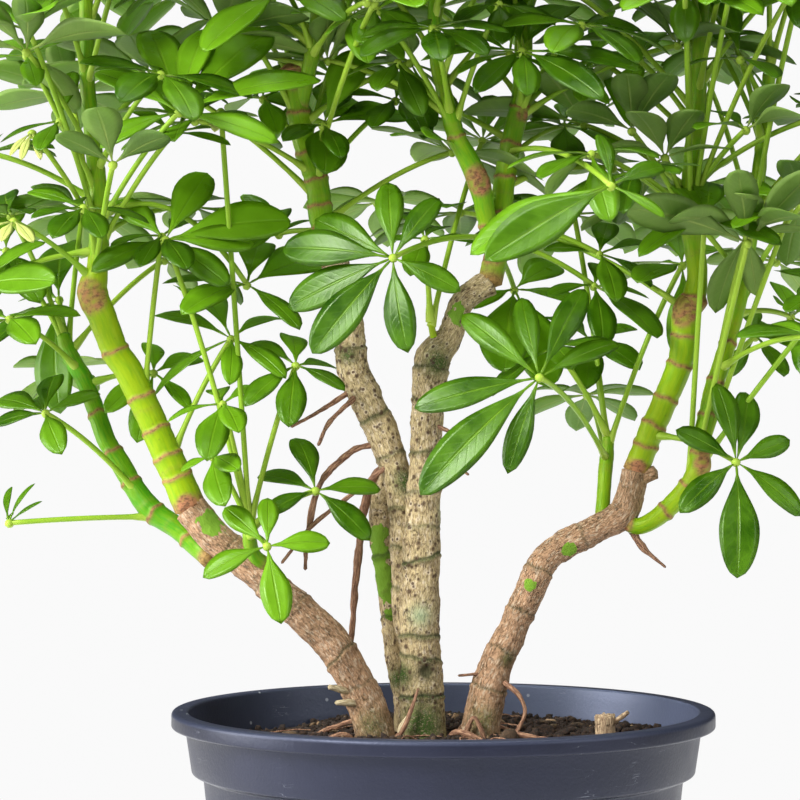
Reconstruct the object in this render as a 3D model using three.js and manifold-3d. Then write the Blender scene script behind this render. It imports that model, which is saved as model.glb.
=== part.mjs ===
// Umbrella plant (dwarf schefflera habit) in a round nursery pot. Millimetres, +Z up, the origin at the
// middle of the pot's flat underside. +X is the plant's right and -Y its front.
// Each leaf is a stalk with a hub at its end and a ring of leaflets, grown as one piece with its stem.
import * as THREE from 'three';
import { mergeVertices } from 'three/addons/utils/BufferGeometryUtils.js';
import Module from 'manifold-3d';

const wasm = await Module();
wasm.setup();

// ---------------------------------------------------------------- driving dimensions

const POT = {
  height: 188,
  rimRadius: 120,
  rimDepth: 7,
  lipRound: 1.6,
  collarTopRadius: 114,
  collarBottomRadius: 111,
  collarHeight: 27,
  stepHeight: 1.5,
  bodyTopRadius: 106,
  bodyBottomRadius: 89,
  wall: 1.6,
  floor: 3,
  footRound: 1.5,
  sides: 36,
};
const DRAIN = { count: 6, ringRadius: 54, radius: 5, sides: 6 };
const SOIL = { belowRim: 11, grain: 1.4, grainRadius: 70 };

const SEAT_GAP = 0.3; // clearance wherever one piece stands in or on another
const WOOD_SIDES = 9;
const GREEN_SIDES = 6;
const ROOT_SIDES = 4;

// Places along a leaflet and along a stalk are shares of its length, and angles are in radians.
const LEAF = {
  widthShare: 0.35, // full width of a leaflet for its length
  belly: 0.54, // where the two edge corners and the corner on the midrib stand
  shoulder: 0.85,
  middle: 0.62,
  edgeShare: 0.9, // how much of the half width the edge corners reach
  halfThickness: 0.7, // at the midrib; the edges are thin
  fold: 0.16, // how far the edges stand above the midrib, for each mm across
  droop: -0.16, // how far a leaflet leans back from its leaf's plane; below 0 it rises before it bends down
  curl: 0.5, // how far it bends down to its tip
  curlRange: [0.7, 1.3],
  rollRange: 0.22, // how far it may be turned about its own midrib
  fewest: 3, // a leaf that has room for fewer leaflets is left out
};
const HUB = { radius: 1.4, above: 1.2, below: 1.3, room: 3 };
const STALK = { footRadius: 1.9, radius: 1.15, footLength: 0.4, steps: 2, bow: 0.12 };
const SPIRAL = {
  turn: 137.5, // degrees from one leaf to the next
  turnSway: 14,
  lean: [0.25, 0.55], // how far a leaf's axis leans outward, for 1 upward
  leaflets: 7, // the ring is divided for so many
  built: 2, // leaflets to each side of the outermost one
  bearingSway: 0.3,
  shorter: 0.14, // how much less a leaflet is that points across, for the outermost one
  backDepth: 0.5, // how much further leaves reach behind and in front than to the sides
  frontDepth: 0.15,
};
// The room that is kept for a blade or stalk when it is set.
const ROOM = { sides: 6, spare: 0.45, bladeFrom: 0.13, bladeBack: -0.05, stalkFrom: 0.15, stalkTo: 0.8 };

// A blade or stalk that would cross another one is bent by the first of these that sets it clear.
const DROOP_TRIES = [0, 12, -12, 24, -24, 36, -36, 48].map(THREE.MathUtils.degToRad);
const TURN_TRIES = [0, 10, -10, 20, -20, 32, -32, 45].map(THREE.MathUtils.degToRad);

// ---------------------------------------------------------------- routes, as [x, y, z, radius]

const TRUNKS = [
  {
    name: 'trunk_left',
    wood: [[
      [-30, -4, 146, 8.2], [-30, -4, 178, 8.6], [-45, -3, 212, 8.0], [-61, -1, 229, 7.7], [-71, 0, 238, 7.4],
      [-82, 1, 248, 7.3], [-101, 2, 264, 7.2], [-112, 2, 277, 7.5],
    ]],
    roots: [],
  },
  {
    name: 'trunk_centre',
    wood: [
      [
        [-9, 0, 146, 9.6], [-9, 0, 177, 10.3], [-10, 0, 214, 9.0], [-10, 0, 245, 8.6], [-8, 0, 291, 7.4],
        [-7, 0, 314, 7.1], [-6, 1, 332, 7.7], [-4, 1, 344, 8.2], [3, 2, 353, 5.6], [8, 3, 367, 5.2],
        [14, 4, 373, 5.6], [21, 4, 377, 5.8],
      ],
      [
        [-13, 4, 210, 5.0], [-16, 7, 228, 6.0], [-17, 8, 245, 6.1], [-17, 8, 263, 6.2], [-19, 8, 285, 6.6],
        [-26, 8, 308, 7.1], [-34, 9, 325, 7.3], [-40, 10, 338, 7.2], [-42, 10, 360, 6.5], [-45, 10, 373, 6.2],
        [-48, 10, 385, 6.3],
      ],
      [
        [-17, 16, 150, 4.2], [-17, 16, 177, 4.5], [-18, 17, 192, 4.2], [-22, 18, 212, 4.1],
        [-24, 19, 229, 4.1], [-26, 20, 246, 4.3], [-28, 20, 264, 4.5], [-27, 17, 280, 5.5],
        [-23, 11, 291, 4.6],
      ],
    ],
    roots: [
      [[-28, 8, 305, 1.6], [-40, 6, 302, 1.9], [-54, 0, 288, 1.7], [-60, -1, 265, 1.5], [-61, 1, 250, 1.3]],
      [[-25, 10, 297, 2.0], [-33, 14, 285, 2.3], [-38, 14, 252, 2.2], [-41, 12, 212, 1.5]],
      [[-24, 4, 296, 1.3], [-40, 3, 283, 1.3], [-58, -3, 269, 1.1], [-71, -5, 253, 0.8]],
      [[-40, 8, 329, 1.5], [-56, 4, 319, 1.2], [-67, 0, 313, 0.7]],
      [[-38, 5, 327, 1.6], [-50, -2, 315, 1.3], [-55, -4, 305, 0.9]],
      [[-7, -3, 315, 1.5], [5, -7, 310, 1.2], [18, -8, 306, 0.7]],
      [[-8, -3, 299, 1.4], [2, -9, 298, 1.2], [11, -10, 292, 0.7]],
    ],
  },
  {
    name: 'trunk_right',
    wood: [
      [
        [16, 2, 146, 8.0], [17, 2, 179, 8.5], [22, 2, 203, 7.6], [31, 1, 223, 6.7], [37, 0, 237, 6.5],
        [45, 0, 254, 6.5], [55, 0, 261, 6.3], [67, 0, 267, 6.2], [79, 0, 274, 6.7], [83, 0, 284, 6.0],
        [85, 0, 293, 5.9],
      ],
      [[84, 0, 289, 3.4], [94, -2, 293, 3.0]],
    ],
    roots: [
      [[82, 0, 270, 2.4], [88, -2, 260, 2.0], [98, -4, 251, 0.6]],
      [[22, 0, 204, 1.2], [7, -3, 203, 0.7]],
    ],
  },
];

const STUB = {
  wood: [[72, -8, 158, 4.4], [71, -10, 187, 4.6]],
  twig: [[72, -9, 181, 1.5], [81, -13, 188, 0.9]],
};

// The green shoots. A listed leaf is [limb, place along it, hub, way it faces, [bearing in degrees, length]
// of each leaflet], and a bow and a width of its own where it has them. A spiral is a run of leaves round
// the stem, from one place along it to another, with its first turn, and the rise of the stalks in degrees,
// their reach and the size of the leaflets, each from one value to another.
const SHOOTS = [
  {
    name: 'shoot_left_top',
    limbs: [
      [
        [-112, 2, 277, 7.2], [-118, 2, 291, 6.9], [-124, 2, 304, 6.6], [-130, 2, 318, 6.3],
        [-139, 1, 337, 6.3], [-145, 1, 346, 6.3], [-151, 0, 362, 6.3], [-155, 0, 372, 6.9],
        [-153, -1, 383, 4.7], [-152, -2, 397, 4.4], [-152, -3, 411, 4.3], [-153, -4, 425, 4.0],
        [-155, -5, 444, 3.6], [-157, -5, 466, 3.4], [-157, -5, 488, 3.2], [-158, -4, 510, 3.0],
      ],
    ],
    leaves: [
      [0, 0.55, [-156, -28, 408], [10, -45, 88], [
        [163, 29], [192, 26], [352, 30], [125, 27], [235, 33], [305, 31],
      ]],
      [0, 0.57, [-118, -12, 442], [10, -50, 86], [
        [104, 72], [150, 33], [62, 72], [24, 69], [350, 26], [200, 28],
      ]],
      [0, 0.64, [-182, -18, 475], [-20, -40, 88], [[40, 56], [185, 26], [140, 41], [300, 33], [90, 33]]],
      [0, 0.7, [-146, -20, 434], [0, -35, 93], [[112, 45], [55, 51], [170, 26], [10, 26], [250, 25]]],
      [0, 0.68, [-167, -22, 446], [-30, -40, 86], [[170, 46], [195, 29], [130, 37], [60, 31], [250, 29]]],
      [0, 0.22, [-124, -5, 397], [10, -30, 95], [
        [150, 47], [52, 62], [4, 53], [185, 26], [240, 29], [310, 37],
      ]],
      [0, 0.57, [-205, -12, 374], [-50, -50, 70], [[5, 48], [42, 38], [100, 49], [200, 34], [280, 49]]],
      [0, 0.64, [-87, 5, 376], [30, -40, 85], [[85, 55], [25, 72], [165, 38], [320, 40], [200, 47]], 0.5],
      [0, 0.1, [-94, 4, 352], [10, -45, 88], [
        [125, 72], [158, 44], [178, 45], [330, 37], [35, 45], [280, 34],
      ]],
    ],
    spirals: [
      { limb: 0, count: 7, from: 0.6, to: 1, turn: 40, rise: [15, 75], reach: [45, 80], blade: [38, 46] },
    ],
  },
  {
    name: 'shoot_left_low',
    limbs: [
      [
        [-103, 4, 254, 4.6], [-108, 8, 258, 4.6], [-118, 12, 267, 4.8], [-130, 15, 275, 5.3],
        [-138, 18, 285, 4.7], [-144, 20, 295, 4.5], [-151, 22, 306, 4.3], [-156, 25, 319, 4.2],
        [-162, 28, 334, 4.0], [-168, 30, 344, 3.8], [-172, 32, 354, 3.2],
      ],
    ],
    leaves: [
      [0, 0.36, [-176, 0, 319], [-30, -50, 80], [
        [165, 37], [192, 26], [88, 35], [130, 38], [20, 26], [300, 33],
      ]],
      [0, 0.98, [-176, 50, 371], [-20, -50, 80], [[100, 61], [150, 46], [250, 55], [215, 45], [300, 52]]],
      [0, 0.78, [-130, 22, 337], [20, -40, 88], [[20, 34], [330, 27], [200, 32], [100, 30], [260, 34]]],
      [0, 0.27, [-193, 5, 270], [-60, -60, 50], [[100, 27], [66, 23], [128, 21], [45, 18]], 0.02, 0.16],
      [0, 0.94, [-199, 40, 393], [-30, -40, 86], [[45, 39], [95, 47], [180, 29], [265, 43], [320, 43]]],
    ],
    spirals: [
      { limb: 0, count: 4, from: 0.75, to: 1, turn: 100, rise: [10, 60], reach: [40, 70], blade: [36, 44] },
    ],
  },
  {
    name: 'shoot_left_inner',
    limbs: [
      [
        [-77, -2, 251, 3.3], [-83, -6, 256, 3.2], [-85, -9, 263, 3.1], [-85, -10, 272, 2.4],
      ],
    ],
    leaves: [
      [0, 0.93, [-97, -10, 323], [-10, -40, 90], [[260, 40], [305, 33], [190, 26], [110, 30], [30, 30]]],
      [0, 0.89, [-65, -4, 340], [10, -50, 85], [
        [150, 32], [205, 33], [30, 38], [335, 28], [265, 37], [95, 35],
      ]],
      [0, 0.85, [-56, -14, 285], [10, -75, 65], [[145, 35], [106, 35], [200, 26], [5, 30], [322, 34]]],
      [0, 0.74, [-76, -40, 262], [0, -85, 50], [[200, 31], [283, 37], [5, 28], [88, 26], [138, 29]]],
      [0, 0.89, [-101, -14, 300], [-30, -50, 80], [[285, 37], [325, 30], [200, 16]]],
    ],
    spirals: [],
  },
  {
    name: 'shoot_middle_left',
    limbs: [
      [
        [-48, 10, 385, 6.0], [-50, 11, 394, 5.8], [-54, 12, 406, 5.6], [-56, 13, 421, 5.3],
        [-61, 14, 437, 5.2], [-64, 15, 450, 5.1], [-66, 15, 464, 5.7], [-67, 15, 473, 7.0],
      ],
      [
        [-64, 15, 454, 3.4], [-60, 9, 470, 3.5], [-57, 6, 485, 3.4], [-55, 5, 503, 3.2],
        [-55, 5, 516, 3.0],
      ],
    ],
    leaves: [
      [0, 0.41, [-53, -4, 446], [20, -40, 90], [[15, 64], [50, 46], [110, 37], [300, 33], [200, 28]]],
      [0, 0.44, [-21, 34, 461], [20, -30, 93], [[10, 43], [170, 27], [80, 34], [230, 34], [310, 43]]],
      [0, 0.51, [-81, 28, 461], [-20, -30, 93], [[150, 43], [205, 33], [90, 43], [30, 32], [300, 34]]],
      [0, 0.2, [-74, 30, 400], [-10, -40, 90], [[150, 32], [30, 23], [205, 21], [90, 29]]],
      [1, 0.5, [-41, -14, 493], [20, -50, 84], [
        [20, 45], [65, 50], [125, 40], [175, 27], [335, 32], [290, 38],
      ]],
      [1, 0.42, [-69, -18, 504], [-10, -60, 80], [[222, 58], [185, 35], [140, 43], [330, 39], [30, 30]]],
    ],
    spirals: [
      { limb: 0, count: 4, from: 0.25, to: 0.9, turn: 70, rise: [10, 40], reach: [45, 80], blade: [38, 45] },
      { limb: 1, count: 6, from: 0.45, to: 1, turn: 200, rise: [25, 78], reach: [40, 75], blade: [38, 46] },
    ],
  },
  {
    name: 'shoot_knob',
    limbs: [
      [
        [-3, 2, 344, 2.2], [-4, -2, 352, 1.7], [-6, -3, 361, 1.3],
      ],
    ],
    leaves: [
      [0, 0.9, [-8, 0, 396], [0, -50, 85], [[112, 40], [68, 41], [180, 16], [0, 26], [250, 33]]],
    ],
    spirals: [],
  },
  {
    name: 'shoot_middle',
    limbs: [
      [
        [21, 4, 377, 5.6], [23, 5, 386, 5.3], [25, 6, 400, 5.0], [28, 8, 425, 4.8], [32, 9, 446, 4.6],
        [35, 9, 458, 4.3], [36, 9, 481, 4.0], [37, 9, 503, 3.6], [38, 9, 516, 3.2],
      ],
      [
        [23, 5, 388, 4.4], [20, 0, 402, 4.2], [16, -4, 420, 4.7], [11, -6, 431, 4.6], [6, -7, 440, 4.2],
        [3, -8, 450, 3.8], [0, -8, 462, 3.4], [-3, -8, 474, 3.0], [-4, -8, 492, 2.7], [-5, -8, 509, 2.4],
      ],
    ],
    leaves: [
      [0, 0.22, [-22, -52, 385], [-15, -93, 35], [
        [93, 39], [55, 35], [335, 33], [275, 43], [230, 54], [200, 51], [172, 52], [150, 45],
      ]],
      [0, 0.43, [67, -100, 412], [20, -75, 60], [[212, 72], [192, 66], [95, 31], [25, 33], [330, 26]]],
      [0, 0.27, [70, 12, 390], [10, -40, 90], [[15, 52], [335, 33], [70, 34], [170, 26], [290, 38]]],
      [0, 0.18, [33, 34, 375], [10, -40, 90], [[350, 32], [295, 64], [255, 69], [30, 46], [200, 29]]],
      [0, 0.22, [68, 16, 376], [20, -40, 90], [[318, 53], [350, 26], [185, 27], [285, 38], [70, 30]]],
      [0, 0.66, [29, -16, 476], [0, -40, 90], [
        [112, 45], [70, 51], [300, 35], [345, 53], [200, 33], [155, 30],
      ]],
      [0, 0.59, [67, 24, 478], [10, -30, 93], [[10, 42], [60, 51], [330, 44], [180, 26], [250, 38]]],
      [0, 0.41, [56, 40, 450], [10, -30, 93], [[330, 44], [20, 47], [80, 34], [270, 43], [200, 31]]],
      [1, 0.45, [-29, -26, 494], [-20, -40, 88], [
        [200, 27], [160, 38], [250, 33], [30, 29], [90, 41], [320, 37],
      ]],
      [1, 0.52, [-20, -2, 474], [-20, -30, 90], [[190, 26], [140, 38], [240, 33], [40, 35], [300, 33]]],
      [1, 0.49, [24, -28, 496], [10, -40, 90], [[200, 31], [340, 29], [100, 49], [45, 41], [270, 33]]],
    ],
    spirals: [
      { limb: 0, count: 7, from: 0.35, to: 1, turn: 18, rise: [10, 75], reach: [45, 85], blade: [38, 46] },
      { limb: 1, count: 5, from: 0.55, to: 1, turn: 250, rise: [30, 75], reach: [35, 65], blade: [36, 44] },
    ],
  },
  {
    name: 'shoot_right_top',
    limbs: [
      [
        [85, 0, 293, 5.7], [88, 0, 300, 5.6], [92, -2, 311, 5.6], [97, -3, 322, 5.5], [105, -5, 343, 5.6],
        [107, -6, 364, 6.2], [110, -6, 369, 5.4], [112, -6, 380, 4.6], [110, -6, 396, 4.5],
        [109, -6, 408, 4.4], [110, -6, 430, 4.2], [112, -6, 452, 3.9], [113, -6, 475, 3.5],
        [114, -6, 497, 3.2], [115, -6, 512, 3.0],
      ],
    ],
    leaves: [
      [0, 0.13, [131, -30, 298], [20, -85, 45], [
        [72, 40], [103, 37], [20, 29], [325, 37], [268, 53], [215, 36], [150, 30],
      ]],
      [0, 0.61, [97, -14, 431], [0, 25, 96], [
        [172, 36], [130, 45], [60, 41], [10, 32], [330, 41], [222, 40],
      ]],
      [0, 0.71, [104, -30, 501], [0, -30, 95], [
        [190, 35], [150, 49], [90, 49], [30, 49], [345, 39], [260, 41],
      ]],
      [0, 0.59, [88, 6, 411], [-10, 20, 96], [[195, 34], [150, 42], [250, 34], [20, 41], [90, 34]]],
      [0, 0.76, [87, 0, 475], [-10, -20, 96], [[190, 28], [140, 42], [60, 42], [330, 42], [240, 38]]],
      [0, 0.66, [131, -26, 442], [10, 20, 96], [[15, 49], [60, 41], [160, 40], [210, 41], [320, 41]]],
    ],
    spirals: [
      { limb: 0, count: 8, from: 0.55, to: 1, turn: 90, rise: [10, 75], reach: [45, 85], blade: [38, 46] },
    ],
  },
  {
    name: 'shoot_right_outer',
    limbs: [
      [
        [79, 0, 272, 4.0], [86, -3, 269, 3.7], [93, -6, 272, 3.9], [102, -9, 280, 4.4],
        [109, -12, 289, 4.5], [112, -13, 296, 4.9], [112, -14, 304, 4.2], [115, -14, 316, 4.0],
        [118, -14, 329, 3.9], [121, -14, 338, 3.8], [126, -13, 355, 3.6], [130, -12, 369, 3.5],
        [134, -10, 391, 3.3], [138, -8, 417, 3.1], [141, -6, 444, 3.0], [144, -5, 470, 2.8],
      ],
    ],
    leaves: [
      [0, 0.52, [131, -30, 396], [0, 35, 93], [
        [98, 39], [45, 59], [165, 48], [5, 27], [215, 39], [300, 29],
      ]],
      [0, 0.78, [153, -34, 501], [10, -40, 90], [
        [200, 43], [150, 35], [90, 49], [330, 41], [30, 43], [260, 37],
      ]],
      [0, 0.54, [139, 4, 353], [20, -50, 80], [[350, 26], [300, 32], [205, 23], [95, 30], [35, 35]]],
      [0, 0.73, [157, -12, 410], [20, 10, 96], [[170, 28], [120, 41], [60, 41], [330, 50], [260, 41]]],
      [0, 0.7, [157, 20, 362], [40, -40, 80], [[330, 27], [280, 47], [30, 51], [200, 34], [100, 34]]],
      [0, 0.92, [128, -30, 472], [0, -10, 96], [[180, 26], [130, 41], [60, 49], [0, 26], [300, 41]]],
    ],
    spirals: [
      { limb: 0, count: 6, from: 0.6, to: 1, turn: 300, rise: [10, 70], reach: [40, 75], blade: [36, 45] },
    ],
  },
  {
    name: 'shoot_right_inner',
    limbs: [
      [
        [71, 1, 270, 3.4], [71, 3, 277, 3.2], [72, 5, 289, 3.0], [73, 8, 298, 3.2], [74, 10, 308, 2.5],
      ],
    ],
    leaves: [
      [0, 0.75, [39, -75, 334], [-10, -90, 45], [
        [140, 47], [103, 42], [62, 49], [33, 42], [193, 54], [222, 71], [248, 43],
      ]],
      [0, 0.85, [107, 10, 385], [0, -20, 95], [
        [200, 46], [150, 51], [335, 51], [25, 51], [275, 42], [90, 35],
      ]],
      [0, 0.9, [68, 40, 352], [-10, -40, 90], [[190, 26], [140, 39], [20, 28], [330, 38], [260, 39]]],
    ],
    spirals: [
      { limb: 0, count: 2, from: 0.7, to: 1, turn: 90, rise: [20, 50], reach: [45, 70], blade: [34, 40] },
    ],
  },
];

// ---------------------------------------------------------------- small helpers

/** A draw between 0 and 1 that is always the same for a seed. */
function chance(seed) {
  const value = Math.sin(seed * 12.9898) * 43758.5453;
  return value - Math.floor(value);
}

/** A draw between -1 and 1 that is always the same for a seed. */
function sway(seed) {
  return 2 * chance(seed) - 1;
}

function vector([x, y, z]) {
  return new THREE.Vector3(x, y, z);
}

/** The value at a share of the way from the first of two numbers to the second. */
function between([from, to], share) {
  return THREE.MathUtils.lerp(from, to, share);
}

/** base + a * u + b * v, as a new vector. */
function along(base, a, u, b = 0, v = u) {
  return base.clone().addScaledVector(u, a).addScaledVector(v, b);
}

/** A closed three.js geometry as a solid that can be cut and joined. */
function solidOf(geometry) {
  const bare = geometry.index ? geometry.clone() : geometry;
  bare.deleteAttribute('normal');
  bare.deleteAttribute('uv');
  const merged = mergeVertices(bare, 1e-4);
  const index = merged.index.array;
  const triangles = [];
  for (let i = 0; i < index.length; i += 3) {
    const [a, b, c] = [index[i], index[i + 1], index[i + 2]];
    if (a !== b && b !== c && c !== a) triangles.push(a, b, c);
  }
  return new wasm.Manifold(new wasm.Mesh({
    numProp: 3,
    vertProperties: new Float32Array(merged.attributes.position.array),
    triVerts: new Uint32Array(triangles),
  }));
}

/** A closed solid from its corners and triangles. */
function solidFrom(corners, triangles) {
  const geometry = new THREE.BufferGeometry();
  const numbers = corners.flatMap((corner) => [corner.x, corner.y, corner.z]);
  geometry.setAttribute('position', new THREE.Float32BufferAttribute(numbers, 3));
  geometry.setIndex(triangles);
  return solidOf(geometry);
}

function geometryOf(solid) {
  const mesh = solid.getMesh();
  const geometry = new THREE.BufferGeometry();
  geometry.setAttribute('position', new THREE.Float32BufferAttribute(mesh.vertProperties, 3));
  geometry.setIndex(new THREE.Uint32BufferAttribute(mesh.triVerts, 1));
  geometry.computeVertexNormals();
  return geometry;
}

function joined(solids) {
  return solids.reduce((whole, solid) => whole.add(solid));
}

/** The largest body of a solid: cutting can leave a loose scrap, which is dropped. */
function mainBody(solid) {
  const bodies = solid.decompose();
  return bodies.reduce((best, body) => (body.volume() > best.volume() ? body : best));
}

/** A smooth line through the first three numbers of each route point. */
function routeLine(route) {
  return new THREE.CatmullRomCurve3(route.map(vector), false, 'catmullrom', 0.5);
}

/** The radius at a share t of a route, straight between its points. */
function routeRadius(route, t) {
  const place = t * (route.length - 1);
  const index = Math.min(Math.floor(place), route.length - 2);
  return between([route[index][3], route[index + 1][3]], place - index);
}

/** A round tapered limb: a cylinder whose rings are carried along a line, grown all round by `grow`. */
function limb(line, radiusAt, sides, steps, grow = 0) {
  const rings = [];
  let normal = null;
  for (let step = 0; step <= steps; step += 1) {
    const t = step / steps;
    const centre = line.getPoint(t);
    const tangent = line.getTangent(t);
    if (normal === null) {
      const helper = Math.abs(tangent.y) < 0.9 ? new THREE.Vector3(0, 1, 0) : new THREE.Vector3(1, 0, 0);
      normal = new THREE.Vector3().crossVectors(helper, tangent).normalize();
    } else {
      normal.addScaledVector(tangent, -normal.dot(tangent)).normalize();
    }
    const side = new THREE.Vector3().crossVectors(normal, tangent);
    if (step === 0) centre.addScaledVector(tangent, -grow);
    if (step === steps) centre.addScaledVector(tangent, grow);
    rings.push({ centre, normal: normal.clone(), side, radius: radiusAt(t) + grow });
  }
  const geometry = new THREE.CylinderGeometry(1, 1, 1, sides, steps);
  const position = geometry.attributes.position;
  for (let i = 0; i < position.count; i += 1) {
    const ring = rings[Math.round((position.getY(i) + 0.5) * steps)];
    const point = along(
      ring.centre, position.getX(i) * ring.radius, ring.normal, position.getZ(i) * ring.radius, ring.side,
    );
    position.setXYZ(i, point.x, point.y, point.z);
  }
  return solidOf(geometry);
}

/** A limb along a route, with a ring of corners at each of its points. */
function routeLimb(route, sides, grow = 0) {
  return limb(routeLine(route), (t) => routeRadius(route, t), sides, route.length - 1, grow);
}

// ---------------------------------------------------------------- pot and soil

/** The pot's inner radius at a height: its wall follows the body, the step and the collar. */
function innerRadius(z) {
  const step = POT.height - POT.collarHeight;
  const share = (from, to) => THREE.MathUtils.clamp((z - from) / (to - from), 0, 1);
  const { wall } = POT;
  if (z >= step) {
    const rise = share(step + wall, POT.height - POT.lipRound);
    return between([POT.collarBottomRadius, POT.collarTopRadius], rise) - wall;
  }
  return between([POT.bodyBottomRadius, POT.bodyTopRadius], share(0, step - POT.stepHeight)) - wall;
}

function makePot() {
  const step = POT.height - POT.collarHeight;
  const rimFoot = POT.height - POT.rimDepth;
  const lip = POT.lipRound;
  const mouth = innerRadius(POT.height);
  const profile = [
    [0, 0],
    [POT.bodyBottomRadius - POT.footRound, 0],
    [POT.bodyBottomRadius, POT.footRound],
    [POT.bodyTopRadius, step - POT.stepHeight],
    [POT.collarBottomRadius, step],
    [POT.collarTopRadius, rimFoot],
    [POT.rimRadius, rimFoot],
    [POT.rimRadius, POT.height - lip],
    [POT.rimRadius - lip, POT.height],
    [mouth + lip, POT.height],
    [mouth, POT.height - lip],
    [innerRadius(step), step + POT.wall],
    [innerRadius(step - POT.stepHeight), step - POT.stepHeight],
    [innerRadius(POT.floor), POT.floor],
    [0, POT.floor],
  ].map(([r, z]) => new THREE.Vector2(r, z));
  let pot = solidOf(new THREE.LatheGeometry(profile, POT.sides).rotateX(Math.PI / 2));
  for (let k = 0; k < DRAIN.count; k += 1) {
    const angle = (2 * Math.PI * k) / DRAIN.count;
    const hole = new THREE.CylinderGeometry(DRAIN.radius, DRAIN.radius, 3 * POT.floor, DRAIN.sides);
    hole.rotateX(Math.PI / 2);
    hole.translate(DRAIN.ringRadius * Math.cos(angle), DRAIN.ringRadius * Math.sin(angle), 0);
    pot = pot.subtract(solidOf(hole));
  }
  return pot;
}

/** The soil: it fills the pot to just under the rim, with a crumbly top and a plain hole for each stem. */
function makeSoil(stems) {
  const step = POT.height - POT.collarHeight;
  const foot = POT.floor + SEAT_GAP;
  const top = POT.height - SOIL.belowRim;
  const profile = [
    [0, foot],
    [innerRadius(foot) - SEAT_GAP, foot],
    [innerRadius(step - POT.stepHeight) - SEAT_GAP, step - POT.stepHeight],
    [innerRadius(step) - SEAT_GAP, step + POT.wall + SEAT_GAP],
    [innerRadius(top) - SEAT_GAP, top],
    [SOIL.grainRadius, top],
    [0, top],
  ].map(([r, z]) => new THREE.Vector2(r, z));
  const geometry = new THREE.LatheGeometry(profile, POT.sides).rotateX(Math.PI / 2);
  const position = geometry.attributes.position;
  for (let i = 0; i < position.count; i += 1) {
    const [x, y, z] = [position.getX(i), position.getY(i), position.getZ(i)];
    const onTop = z > top - 1 && Math.hypot(x, y) < SOIL.grainRadius + 1;
    if (onTop) position.setZ(i, z + SOIL.grain * Math.sin(0.31 * x + 1) * Math.cos(0.27 * y));
  }
  return stems.reduce((soil, stem) => soil.subtract(stem), solidOf(geometry));
}

// ---------------------------------------------------------------- leaflets and leaves

/** The middle line, surface normal and side of a leaflet at a share s of its length. */
function bladeFrame(blade, s) {
  const { hub, heading, normal, length, curl } = blade;
  const bend = curl * s;
  const ahead = (length * Math.sin(bend)) / curl;
  const down = (length * (1 - Math.cos(bend))) / curl;
  const centre = along(hub, ahead, heading, -down, normal);
  const up = along(new THREE.Vector3(), Math.sin(bend), heading, Math.cos(bend), normal);
  return { centre, up };
}

/** A leaflet that starts at its leaf's hub along `heading`, facing the leaf's axis, bent down by `droop`. */
function makeBlade({ hub, axis, widthShare }, { heading, length }, droop, seed) {
  const normal = along(axis, -axis.dot(heading), heading).normalize();
  const bent = along(new THREE.Vector3(), Math.cos(droop), heading, -Math.sin(droop), normal);
  const face = along(new THREE.Vector3(), Math.sin(droop), heading, Math.cos(droop), normal);
  const flatSide = new THREE.Vector3().crossVectors(face, bent);
  const roll = LEAF.rollRange * sway(seed);
  const side = along(new THREE.Vector3(), Math.cos(roll), flatSide, Math.sin(roll), face);
  const turned = along(new THREE.Vector3(), Math.cos(roll), face, -Math.sin(roll), flatSide);
  const half = (length * widthShare) / 2;
  const curl = LEAF.curl * between(LEAF.curlRange, chance(seed + 0.5));
  return { hub, heading: bent, normal: turned, side, length, half, curl };
}

/** The corners of a leaflet: two on each edge, the tip, and one on the midrib above and below. */
function bladeCorners(blade, spare = 0) {
  const edge = (s, half, sign) => {
    const { centre, up } = bladeFrame(blade, s);
    return along(centre, sign * (half + spare), blade.side, LEAF.fold * half, up);
  };
  const rib = (sign) => {
    const { centre, up } = bladeFrame(blade, LEAF.middle);
    return along(centre, sign * (LEAF.halfThickness + spare), up);
  };
  const half = blade.half * LEAF.edgeShare;
  return {
    left: [edge(LEAF.belly, half, 1), edge(LEAF.shoulder, half, 1)],
    right: [edge(LEAF.belly, half, -1), edge(LEAF.shoulder, half, -1)],
    tip: bladeFrame(blade, 1 + spare / blade.length).centre,
    above: rib(1),
    below: rib(-1),
  };
}

/** Triangles between an edge and the midrib, alike on both faces of the leaflet. */
function bladeTriangles(notch, [belly, shoulder], hub, rib, tip, flip) {
  const triangles = [[hub, notch, belly], [hub, belly, rib], [rib, belly, shoulder], [rib, shoulder, tip]];
  return triangles.flatMap(([a, b, c]) => (flip ? [a, c, b] : [a, b, c]));
}

/** The room that a leaflet takes from a share s of its length to its tip, as a closed solid. */
function bladeProbe(blade, s, half, above, below) {
  const { centre, up } = bladeFrame(blade, s);
  const shape = bladeCorners(blade, ROOM.spare);
  const corners = [
    along(centre, above + ROOM.spare, up),
    along(centre, -below - ROOM.spare, up),
    along(centre, half + ROOM.spare, blade.side),
    along(centre, -half - ROOM.spare, blade.side),
    ...shape.left, ...shape.right, shape.tip, shape.above, shape.below,
  ];
  return solidFrom(corners, [
    ...bladeTriangles(2, [4, 5], 0, 9, 8, true), ...bladeTriangles(3, [6, 7], 0, 9, 8, false),
    ...bladeTriangles(2, [4, 5], 1, 10, 8, false), ...bladeTriangles(3, [6, 7], 1, 10, 8, true),
    0, 2, 1, 0, 1, 3,
  ]);
}

/** The room that a stalk takes from just outside its stem up to a share `to` of its line. */
function stalkProbes(line, to) {
  const [start, knee, hub] = [0, 0.5, 1].map((t) => line.getPoint(t));
  const near = start.clone().lerp(knee, 2 * ROOM.stalkFrom);
  const far = knee.clone().lerp(hub, 2 * to - 1);
  return [[near, knee, ROOM.stalkFrom], [knee, far, 0.5]].map(([from, end, t]) => (
    limb(new THREE.LineCurve3(from, end), () => stalkRadius(t), ROOM.sides, 1, ROOM.spare)
  ));
}

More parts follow.
